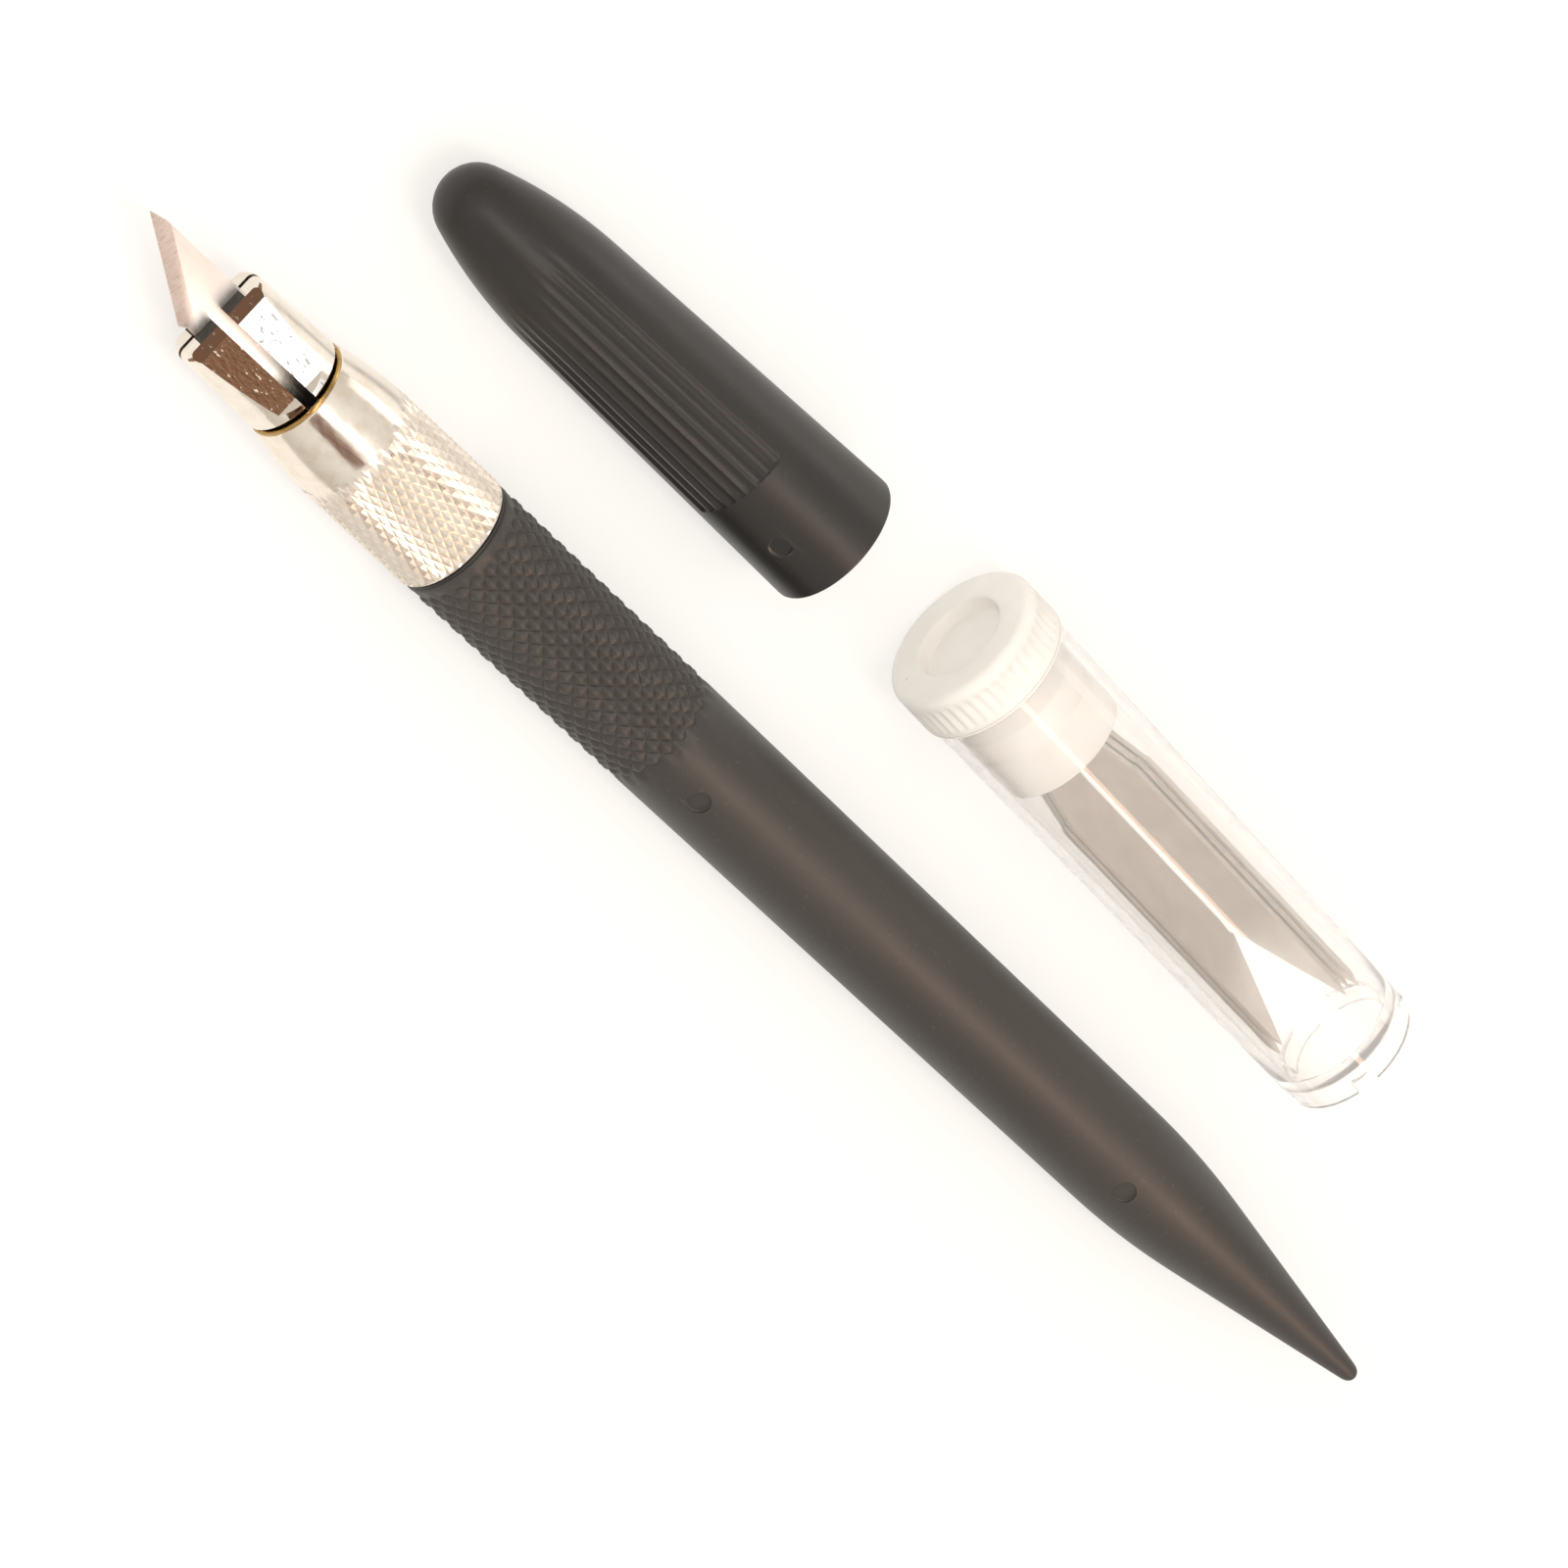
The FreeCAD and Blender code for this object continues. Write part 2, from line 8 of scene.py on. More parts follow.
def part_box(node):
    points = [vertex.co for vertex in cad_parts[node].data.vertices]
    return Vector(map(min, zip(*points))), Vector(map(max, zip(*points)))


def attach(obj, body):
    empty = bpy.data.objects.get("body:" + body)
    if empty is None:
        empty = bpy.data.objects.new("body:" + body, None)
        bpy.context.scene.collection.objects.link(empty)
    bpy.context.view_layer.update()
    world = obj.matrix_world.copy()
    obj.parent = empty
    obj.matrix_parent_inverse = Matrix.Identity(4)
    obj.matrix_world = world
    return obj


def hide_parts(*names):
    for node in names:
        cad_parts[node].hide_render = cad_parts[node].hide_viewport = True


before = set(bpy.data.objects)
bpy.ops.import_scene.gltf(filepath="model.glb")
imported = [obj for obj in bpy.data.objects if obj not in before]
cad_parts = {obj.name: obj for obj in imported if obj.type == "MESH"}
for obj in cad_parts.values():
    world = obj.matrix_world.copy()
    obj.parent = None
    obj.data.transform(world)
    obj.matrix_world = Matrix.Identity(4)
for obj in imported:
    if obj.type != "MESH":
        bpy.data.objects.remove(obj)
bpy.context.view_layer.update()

bl_info = {
    "name": "Hobby Craft Knife",
    "version": (1, 0, 0),
    "blender": (4, 5, 0),
    "location": "View3D > Sidebar > Craft Knife",
    "description": "Builds a collet craft knife, its cap and a vial of spare blades",
    "category": "Add Mesh",
}

MM = 0.001

# Where the three items lie. Each is modelled along X from its own front end, then laid in place.
SLEEVE_LOW, SLEEVE_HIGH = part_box("chuck_sleeve")
KNIFE_FRONT = Vector((
    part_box("blade")[0].x,
    (SLEEVE_LOW.y + SLEEVE_HIGH.y) / 2,
    (SLEEVE_LOW.z + SLEEVE_HIGH.z) / 2,
))

# The cap and the vial, in mm: S is a distance along the item, R a radius. The cap's cone touches the floor, and so
# do the vial's lid and base.
CAP_LENGTH, CAP_MOUTH_R = 51.5, 6.72
CAP_NOSE_S, CAP_NOSE_R = 16.0, 5.84
CAP_BORE_S, CAP_BORE_R = 39.9, 6.18
CAP_SLOPE = math.atan((CAP_MOUTH_R - CAP_NOSE_R) / (CAP_LENGTH - CAP_NOSE_S))
LID_HEIGHT, LID_R = 5.0, 7.7
VIAL_LENGTH, VIAL_TOP_R, VIAL_BASE_R, VIAL_WALL = 59.8, 7.3, 6.75, 1.0
VIAL_SLOPE = -math.atan((LID_R - VIAL_BASE_R) / (VIAL_LENGTH - LID_HEIGHT))


def lying(yaw, slope, x, y, z):
    """Place of an item beside the knife: its front end at x, y from the knife's point, z above the floor, in mm."""
    turn = Matrix.Rotation(math.radians(yaw), 4, "Z") @ Matrix.Rotation(-slope, 4, "Y")
    return Matrix.Translation((KNIFE_FRONT.x + x * MM, KNIFE_FRONT.y + y * MM, z * MM)) @ turn


KNIFE_PLACE = Matrix.Translation(KNIFE_FRONT)
CAP_PLACE = lying(0.5, CAP_SLOPE, 19.4, 22.1, (CAP_NOSE_R - CAP_NOSE_S * math.tan(CAP_SLOPE)) * math.cos(CAP_SLOPE))
VIAL_PLACE = lying(-2.6, VIAL_SLOPE, 86.3, 23.9, LID_R * math.cos(VIAL_SLOPE) - LID_HEIGHT * math.sin(VIAL_SLOPE))


# ---------------------------------------------------------------- at the bench

MERGE = 0.002 * MM             # corners closer than this are joined
SHARP = 34                     # degrees past which an edge is broken


def put_down():
    """Leaves edit mode with nothing selected."""
    if bpy.context.object and bpy.context.object.mode != "OBJECT":
        bpy.ops.object.mode_set(mode="OBJECT")
    bpy.ops.object.select_all(action="DESELECT")


def hold(piece):
    """Leaves edit mode and makes this the one selected piece."""
    put_down()
    piece.select_set(True)
    bpy.context.view_layer.objects.active = piece


def open_mesh(piece):
    hold(piece)
    bpy.ops.object.mode_set(mode="EDIT")


def pick(kind, test):
    """Selects the vertices, edges or faces of the open mesh that pass the test, and returns how many."""
    piece = bpy.context.object
    bpy.ops.mesh.select_mode(type=kind)
    bpy.ops.mesh.select_all(action="DESELECT")
    mesh = bmesh.from_edit_mesh(piece.data)
    parts = {"VERT": mesh.verts, "EDGE": mesh.edges, "FACE": mesh.faces}[kind]
    chosen = [part for part in parts if test(part)]
    for part in chosen:
        part.select_set(True)
    mesh.select_flush_mode()
    bmesh.update_edit_mesh(piece.data)
    return len(chosen)


def station(co):
    """Distance along the piece, in mm."""
    return co.x / MM


def radius(co):
    return math.hypot(co.y, co.z) / MM


def turn_from_top(co):
    """Degrees round the piece from its top, positive towards +Y."""
    return math.degrees(math.atan2(co.y, co.z))


def middle(part):
    """Middle of an edge or a face."""
    return sum((v.co for v in part.verts), Vector()) / len(part.verts)


def move_radially(millimetres, at_radius):
    """Moves what is selected towards the axis or away from it."""
    factor = 1 + millimetres / at_radius
    bpy.ops.transform.resize(value=(1, factor, factor), center_override=(0, 0, 0))


def spin_outline(name, outline, steps):
    """A turned piece along X. The outline's corners (x, r in mm) are drawn out one after another, then spun."""
    put_down()
    bpy.ops.mesh.primitive_plane_add(size=MM)
    piece = bpy.context.object
    piece.name = name
    bpy.ops.object.mode_set(mode="EDIT")
    bpy.ops.mesh.select_mode(type="VERT")
    bpy.ops.mesh.select_all(action="SELECT")
    bpy.ops.mesh.merge(type="CENTER")
    corners = [Vector((x, 0, r)) * MM for x, r in outline]
    bpy.ops.transform.translate(value=corners[0])
    for a, b in zip(corners, corners[1:]):
        bpy.ops.mesh.extrude_vertices_move(TRANSFORM_OT_translate={"value": b - a})
    bpy.ops.mesh.select_all(action="SELECT")
    bpy.ops.mesh.spin(steps=steps, angle=2 * math.pi, center=(0, 0, 0), axis=(1, 0, 0))
    bpy.ops.mesh.select_all(action="SELECT")
    bpy.ops.mesh.remove_doubles(threshold=MERGE)
    bpy.ops.mesh.normals_make_consistent(inside=False)
    return piece


def arc(centre, size, start, end, count):
    """Points of an arc in an outline, angles in degrees from +x towards +r, both ends included."""
    angles = [math.radians(start + (end - start) * n / count) for n in range(count + 1)]
    return [(centre[0] + size * math.cos(a), centre[1] + size * math.sin(a)) for a in angles]


def apply_modifier(piece, kind, **settings):
    hold(piece)
    bpy.ops.object.modifier_add(type=kind)
    modifier = piece.modifiers[-1]
    for key, value in settings.items():
        setattr(modifier, key, value)
    bpy.ops.object.modifier_apply(modifier=modifier.name)


def break_edges(piece, width, segments=2, sharp=SHARP):
    """Bevels the sharp edges; the width is in mm."""
    apply_modifier(piece, "BEVEL", width=width * MM, segments=segments, limit_method="ANGLE",
                   angle_limit=math.radians(sharp))


def cut_away(piece, cutter):
    """Cuts one piece with another, which is used up."""
    apply_modifier(piece, "BOOLEAN", operation="DIFFERENCE", object=cutter, solver="EXACT")
    bpy.data.objects.remove(cutter)


def lay_down(piece, place):
    """Puts a finished piece in its place, with the place kept in its mesh."""
    hold(piece)
    piece.matrix_world = place
    bpy.ops.object.transform_apply(location=True, rotation=True, scale=True)


def smooth(piece, degrees=30):
    hold(piece)
    bpy.ops.object.shade_smooth_by_angle(angle=math.radians(degrees))


def give(piece, *finishes):
    piece.data.materials.clear()
    for finish in finishes:
        piece.data.materials.append(finish)


def finish_picked(piece, index):
    """Gives the picked faces the finish at that place in the piece's list."""
    piece.active_material_index = index
    bpy.ops.object.material_slot_assign()


def scaled(colour, factor):
    return tuple(c * factor for c in colour)


def hand_over(piece, body, slot_name, *nodes):
    """Says which body the piece moves with and which nodes it stands for; slot_name is not used."""
    put_down()
    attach(piece, body)
    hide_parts(*nodes)


def copy_of_node(node, name):
    """A new piece that starts from a CAD node's own shape, its loose triangles joined into clean faces."""
    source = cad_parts[node]
    piece = bpy.data.objects.new(name, source.data.copy())
    bpy.context.scene.collection.objects.link(piece)
    hold(piece)
    if piece.data.has_custom_normals:
        bpy.ops.mesh.customdata_custom_splitnormals_clear()
    open_mesh(piece)
    bpy.ops.mesh.select_all(action="SELECT")
    bpy.ops.mesh.remove_doubles(threshold=MERGE)
    bpy.ops.mesh.dissolve_limited(angle_limit=math.radians(0.4))
    return piece


def copy_of_piece(source, name):
    piece = bpy.data.objects.new(name, source.data.copy())
    bpy.context.scene.collection.objects.link(piece)
    return piece


# ---------------------------------------------------------------- finishes

class Finish:
    """Builds one material: patterns on the piece's own coordinates that drive colour, roughness and bumps."""

    def __init__(self, name, colour, roughness, metallic=0.0, **constants):
        self.material = bpy.data.materials.new(name)
        self.material.use_nodes = True
        self.nodes = self.material.node_tree.nodes
        self.links = self.material.node_tree.links
        self.shader = self.nodes["Principled BSDF"]
        self.shader.inputs["Base Color"].default_value = (*colour, 1)
        self.shader.inputs["Roughness"].default_value = roughness
        self.shader.inputs["Metallic"].default_value = metallic
        for socket, value in constants.items():
            self.shader.inputs[socket.replace("_", " ")].default_value = value
        self.place = self.nodes.new("ShaderNodeTexCoord").outputs["Object"]
        self.bump = None

    def grain(self, size, stretch=(1, 1, 1), detail=4, turn=0.0):
        """Cloudy pattern; size is its coarseness in mm, stretch its length along each axis."""
        mapping = self.nodes.new("ShaderNodeMapping")
        mapping.inputs["Scale"].default_value = [1 / s for s in stretch]
        mapping.inputs["Rotation"].default_value = (0, 0, math.radians(turn))
        self.links.new(self.place, mapping.inputs["Vector"])
        noise = self.nodes.new("ShaderNodeTexNoise")
        noise.inputs["Scale"].default_value = 1 / (size * MM)
        noise.inputs["Detail"].default_value = detail
        self.links.new(mapping.outputs["Vector"], noise.inputs["Vector"])
        return noise.outputs["Fac"]

    def cells(self, size):
        """Distance from scattered points, for specks and pits."""
        points = self.nodes.new("ShaderNodeTexVoronoi")
        points.inputs["Scale"].default_value = 1 / (size * MM)
        self.links.new(self.place, points.inputs["Vector"])
        return points.outputs["Distance"]

    def levels(self, pattern, low, high, to_low, to_high):
        """Stretches the part of a pattern between low and high to a new range."""
        node = self.nodes.new("ShaderNodeMapRange")
        for socket, value in zip(("From Min", "From Max", "To Min", "To Max"), (low, high, to_low, to_high)):
            node.inputs[socket].default_value = value
        self.links.new(pattern, node.inputs["Value"])
        return node.outputs["Result"]

    def edges(self, low=0.52, high=0.6):
        """Where the surface is worn: its convex edges."""
        geometry = self.nodes.new("ShaderNodeNewGeometry")
        return self.levels(geometry.outputs["Pointiness"], low, high, 0, 1)

    def tint(self, pattern, colour):
        """Turns the colour so far towards another where the pattern is strong."""
        mix = self.nodes.new("ShaderNodeMix")
        mix.data_type = "RGBA"
        base = self.shader.inputs["Base Color"]
        if base.is_linked:
            self.links.new(base.links[0].from_socket, mix.inputs["A"])
        else:
            mix.inputs["A"].default_value = base.default_value[:]
        mix.inputs["B"].default_value = (*colour, 1)
        self.links.new(pattern, mix.inputs["Factor"])
        self.links.new(mix.outputs["Result"], base)
        return self

    def roughen(self, pattern, low, high):
        self.links.new(self.levels(pattern, 0.3, 0.7, low, high), self.shader.inputs["Roughness"])
        return self

    def relief(self, pattern, height, strength=1.0):
        """Small bumps of that height in mm."""
        bump = self.nodes.new("ShaderNodeBump")
        bump.inputs["Distance"].default_value = height * MM
        bump.inputs["Strength"].default_value = strength
        self.links.new(pattern, bump.inputs["Height"])
        if self.bump:
            self.links.new(self.bump.outputs["Normal"], bump.inputs["Normal"])
        self.bump = bump
        self.links.new(bump.outputs["Normal"], self.shader.inputs["Normal"])
        return self


def moulded_plastic(name, colour, sheen_colour, roughness):
    """Dark matte moulding: fine spark-eroded texture, faint flow clouds, edges rubbed a little lighter."""
    finish = Finish(name, colour, roughness, IOR=1.48)
    clouds = finish.grain(9, (3, 1, 1), 3)
    texture = finish.grain(0.16, detail=2)
    finish.tint(finish.levels(clouds, 0.35, 0.7, 0, 0.7), sheen_colour)
    flecks = finish.levels(finish.grain(0.5, detail=1), 0.68, 0.74, 0, 0.35)
    finish.tint(flecks, scaled(sheen_colour, 1.7))
    finish.tint(finish.levels(finish.edges(), 0, 1, 0, 0.4), scaled(sheen_colour, 1.8))
    finish.roughen(clouds, roughness - 0.05, roughness + 0.06)
    finish.relief(texture, 0.012, 0.5)
    return finish.material


def plated(name, colour, dull, roughness, scratch=(8, 1, 1)):
    """Bright plating over turned metal: fine turning marks, small stains, and a warmer dull tone in patches."""
    finish = Finish(name, colour, roughness, 1.0)
    marks = finish.grain(0.22, scratch, 3)
    patches = finish.grain(1.6, detail=4)
    finish.tint(finish.levels(patches, 0.45, 0.72, 0, 0.6), dull)
    finish.tint(finish.levels(finish.cells(1.3), 0.0, 0.07, 0.75, 0), scaled(dull, 0.35))
    finish.roughen(marks, roughness - 0.04, roughness + 0.07)
    finish.relief(marks, 0.006, 0.35)
    return finish.material


def knurled_plating(name, colour, valley):
    """Plating over rolled diamonds: satin crests, and a darker, browner tone in the valleys and in faint patches."""
    finish = Finish(name, colour, 0.3, 1.0)
    finish.tint(finish.edges(0.5, 0.43), valley)
    finish.tint(finish.levels(finish.grain(1.2, detail=3), 0.5, 0.75, 0, 0.2), valley)
    finish.roughen(finish.grain(0.3), 0.26, 0.38)
    finish.relief(finish.grain(0.15, detail=2), 0.004, 0.4)
    return finish.material


def milled_plating(name, colour, painted_pit_colour, sparse):
    """Plating over milled flats: coarse cutter marks, and open pits whose light and shade are painted in as specks of
    their own colour.
    """
    finish = Finish(name, colour, 0.1, 1.0)
    pits = finish.grain(0.34, (2.2, 1, 1), 2, 35)
    marks = finish.grain(0.5, (1, 6, 1), 3)
    # The pits are painted with their own light and shade.
    finish.tint(finish.levels(pits, sparse, sparse + 0.06, 0, 0.8), painted_pit_colour)
    finish.roughen(marks, 0.08, 0.2)
    finish.relief(pits, 0.02, 0.4)
    finish.relief(marks, 0.01, 0.3)
    return finish.material


def painted_shade_end(name, colour):
    """Painted shade on the jaws' end faces beside the slots: near-black, with faint lighter patches."""
    finish = Finish(name, colour, 0.55, 0.4)
    finish.tint(finish.levels(finish.grain(0.5), 0.4, 0.7, 0, 0.5), (0.09, 0.07, 0.06))
    finish.roughen(finish.grain(0.25), 0.45, 0.65)
    finish.relief(finish.grain(0.2), 0.02, 0.5)
    return finish.material


def rolled_steel(name, colour, dull, turn=0.0):
    """Blade stock: satin, with faint rolling lines along it."""
    finish = Finish(name, colour, 0.34, 1.0)
    lines = finish.grain(0.12, (30, 1, 1), 3, turn)
    clouds = finish.grain(3.0, detail=3)
    finish.tint(finish.levels(clouds, 0.35, 0.7, 0, 0.6), dull)
    finish.tint(finish.levels(finish.cells(4.0), 0.0, 0.035, 0.8, 0), scaled(dull, 0.25))
    finish.roughen(lines, 0.28, 0.42)
    finish.relief(lines, 0.004, 0.4)
    return finish.material


def ground_steel(name, colour, dull, turn):
    """Ground bevel: close grinding lines across the edge."""
    finish = Finish(name, colour, 0.3, 1.0)
    lines = finish.grain(0.05, (1, 24, 24), 2, turn)
    finish.tint(finish.levels(lines, 0.35, 0.7, 0, 0.45), dull)
    finish.tint(finish.levels(finish.cells(2.6), 0.0, 0.05, 0.9, 0), scaled(dull, 0.2))
    finish.roughen(lines, 0.24, 0.4)
    finish.relief(lines, 0.004, 0.5)
    return finish.material


def clear_plastic(name, colour):
    """Clear tube: faint flow lines, handling scratches and a touch of haze."""
    finish = Finish(name, colour, 0.03, IOR=1.34, Transmission_Weight=0.88)
    flow = finish.grain(2.5, (8, 1, 1), 3)
    finish.tint(finish.levels(flow, 0.3, 0.75, 0, 0.5), scaled(colour, 0.97))
    finish.roughen(finish.grain(0.6, (5, 1, 1)), 0.015, 0.06)
    finish.relief(flow, 0.03, 0.25)
    return finish.material


def milky_plastic(name, colour, shade, see_through):
    """Cloudy soft plastic, waxy, with faint flow clouds."""
    finish = Finish(name, colour, 0.42, IOR=1.45, Transmission_Weight=see_through)
    clouds = finish.grain(3.0, detail=3)
    finish.tint(finish.levels(clouds, 0.35, 0.7, 0, 0.8), shade)
    finish.tint(finish.levels(finish.cells(5.0), 0.0, 0.03, 0.7, 0), scaled(shade, 0.4))
    finish.roughen(clouds, 0.38, 0.5)
    finish.relief(finish.grain(0.5, detail=2), 0.02, 0.3)
    return finish.material


# ---------------------------------------------------------------- sizes and colours a user may change

class KnifeSizes(bpy.types.PropertyGroup):
    sleeve_grooves: bpy.props.IntProperty(
        name="Sleeve Grooves", description="Knurling grooves round the sleeve, each way", default=44, min=12, max=90)
    sleeve_groove_depth: bpy.props.FloatProperty(
        name="Sleeve Groove Depth", description="Depth of the sleeve's knurling",
        default=0.00028, min=0, max=0.0005, precision=5, unit="LENGTH", subtype="DISTANCE")
    grip_grooves: bpy.props.IntProperty(
        name="Grip Grooves", description="Moulded grooves round the grip, each way", default=21, min=8, max=40)
    grip_groove_depth: bpy.props.FloatProperty(
        name="Grip Groove Depth", description="Depth of the grip's moulded diamonds",
        default=0.0007, min=0, max=0.001, precision=5, unit="LENGTH", subtype="DISTANCE")
    flute_depth: bpy.props.FloatProperty(
        name="Flute Depth", description="Depth of the cap's flutes",
        default=0.00022, min=0, max=0.0006, precision=5, unit="LENGTH", subtype="DISTANCE")
    ground_width: bpy.props.FloatProperty(
        name="Ground Width", description="Width of the blade's ground bevel",
        default=0.0015, min=0.0005, max=0.003, precision=5, unit="LENGTH", subtype="DISTANCE")
    lid_ribs: bpy.props.IntProperty(
        name="Lid Ribs", description="Ribs round the lid's skirt", default=46, min=12, max=80)
    lid_rib_height: bpy.props.FloatProperty(
        name="Lid Rib Height", description="Height of the lid's ribs",
        default=0.00016, min=0, max=0.0004, precision=5, unit="LENGTH", subtype="DISTANCE")


class KnifeColours(bpy.types.PropertyGroup):
    plastic: bpy.props.FloatVectorProperty(
        name="Plastic", description="Handle and cap", default=(0.036, 0.031, 0.027), size=3, subtype="COLOR")
    plating: bpy.props.FloatVectorProperty(
        name="Plating", description="Sleeve and jaws", default=(0.86, 0.79, 0.70), size=3, subtype="COLOR")
    brass: bpy.props.FloatVectorProperty(
        name="Brass", description="Bush and socket", default=(0.50, 0.33, 0.13), size=3, subtype="COLOR")
    steel: bpy.props.FloatVectorProperty(
        name="Blade Steel", description="The blade in the chuck", default=(0.90, 0.86, 0.82), size=3, subtype="COLOR")
    tube: bpy.props.FloatVectorProperty(
        name="Tube", description="Clear vial", default=(0.975, 0.962, 0.948), size=3, subtype="COLOR")
    lid: bpy.props.FloatVectorProperty(
        name="Lid", description="Milky lid", default=(0.96, 0.93, 0.88), size=3, subtype="COLOR")


def sizes():
    return bpy.context.scene.craft_knife_sizes


def colours():
    return bpy.context.scene.craft_knife_colours


# ---------------------------------------------------------------- blades

BLADE_EDGE_ANGLE = 30.0
POINT_Y = 2.6                  # the point, across the blade from its middle line
KEEN = 0.04                    # the edge is left as thick as the bevel is this far back, in mm
GRIND_TURN = 60


def edge_distance(co):
    """Distance of a place on the blade from the line of its cutting edge, in mm."""
    angle = math.radians(BLADE_EDGE_ANGLE)
    return station(co) * math.sin(angle) + (co.y / MM - POINT_Y) * math.cos(angle)


def shape_blade():
    """The blade along X with its point at the origin: bisected along the grind, then pinched to an edge."""
    blade = copy_of_node("blade", "craft_blade")
    lay_down(blade, KNIFE_PLACE.inverted())
    width = sizes().ground_width / MM
    angle = math.radians(BLADE_EDGE_ANGLE)
    across = Vector((math.sin(angle), math.cos(angle), 0))
    open_mesh(blade)
    bpy.ops.mesh.select_all(action="SELECT")
    bpy.ops.mesh.bisect(plane_co=Vector((0, POINT_Y * MM, 0)) + across * width * MM, plane_no=across)
    levels = sorted({round(edge_distance(v.co), 3) for v in bmesh.from_edit_mesh(blade.data).verts
                     if edge_distance(v.co) < width - 0.01})
    for level in levels:
        pick("VERT", lambda v: abs(edge_distance(v.co) - level) < 0.002)
        thinned = max(level, KEEN) / width
        bpy.ops.transform.resize(value=(1, 1, thinned), center_override=(0, 0, 0))
    bpy.ops.mesh.select_all(action="SELECT")
    bpy.ops.mesh.remove_doubles(threshold=MERGE)
    pick("FACE", lambda f: edge_distance(middle(f)) < width - 0.02 and abs(f.normal.z) > 0.9)
    give(blade, *blade_finishes())
    finish_picked(blade, 1)
    break_edges(blade, 0.02, segments=1, sharp=60)
    smooth(blade, 20)
    return blade


def blade_finishes():
    steel = colours().steel
    dull = scaled(steel, 0.88)
    return (rolled_steel("satin_blade_steel", steel, dull),
            ground_steel("ground_blade_steel", (steel[0] * 0.95, steel[1] * 0.88, steel[2] * 0.84),
                         scaled(steel, 0.74), GRIND_TURN))


# Each spare blade's lean in degrees, and its distance, shift and offset in mm; the second stack is turned over.
RIGHT_STACK = [(57.0, 4.3, -0.6, 0.0), (57.0, 3.7, -1.1, 0.7), (57.0, 3.1, -1.45, 0.3)]
LEFT_STACK = [(45.0, 4.5, -0.25, 0.2), (45.0, 3.9, -0.7, 0.9)]
SPARE_TIP = 56.0


def spare_places():
    for stack, side in ((RIGHT_STACK, 1), (LEFT_STACK, -1)):
        for lean, distance, shift, offset in stack:
            turned_over = Matrix.Rotation(math.pi, 4, "Y")
            if side < 0:
                turned_over = Matrix.Rotation(math.pi, 4, "X") @ turned_over
            moved = Matrix.Translation((SPARE_TIP * MM - offset * MM, side * shift * MM, -distance * MM))
            yield VIAL_PLACE @ Matrix.Rotation(math.radians(side * lean), 4, "X") @ moved @ turned_over


class CRAFTKNIFE_OT_blades(bpy.types.Operator):
    """Grind the blade in the chuck and the five spare blades in the vial"""
    bl_idname = "craft_knife.blades"
    bl_label = "Blades"

    def execute(self, context):
        blade = shape_blade()
        # The spares' satin steel is painted darker than the chuck blade's: painted shade of lying in the tube, which
        # casts no shadow.
        spare_steel_painted_shade = rolled_steel("spare_blade_steel", (0.54, 0.49, 0.44), (0.44, 0.39, 0.33))
        spare_ground = ground_steel("spare_ground_steel", (0.97, 0.95, 0.92), (0.84, 0.80, 0.75), GRIND_TURN)
        for number, place in enumerate(spare_places(), 1):
            spare = copy_of_piece(blade, "spare_craft_blade_%d" % number)
            give(spare, spare_steel_painted_shade, spare_ground)
            lay_down(spare, place)
            hand_over(spare, "spare_blade_%d_body" % number, "blade_steel", "spare_blade_%d" % number)
        lay_down(blade, KNIFE_PLACE)
        hand_over(blade, "blade_body", "blade_steel", "blade")
        return {"FINISHED"}


# ---------------------------------------------------------------- jaws

HEAD_FRONT, CHAMFER_REAR, FLAT_REAR = 11.4, 12.6, 23.0
FLAT_Z, CHAMFER_Z = 2.6, 1.5   # the flats and the bevels before them lie further from the middle than this
# The dark patch on the head's end is painted shade.
DARK_Y = 2.8                   # half the width of the dark patch on the head's end


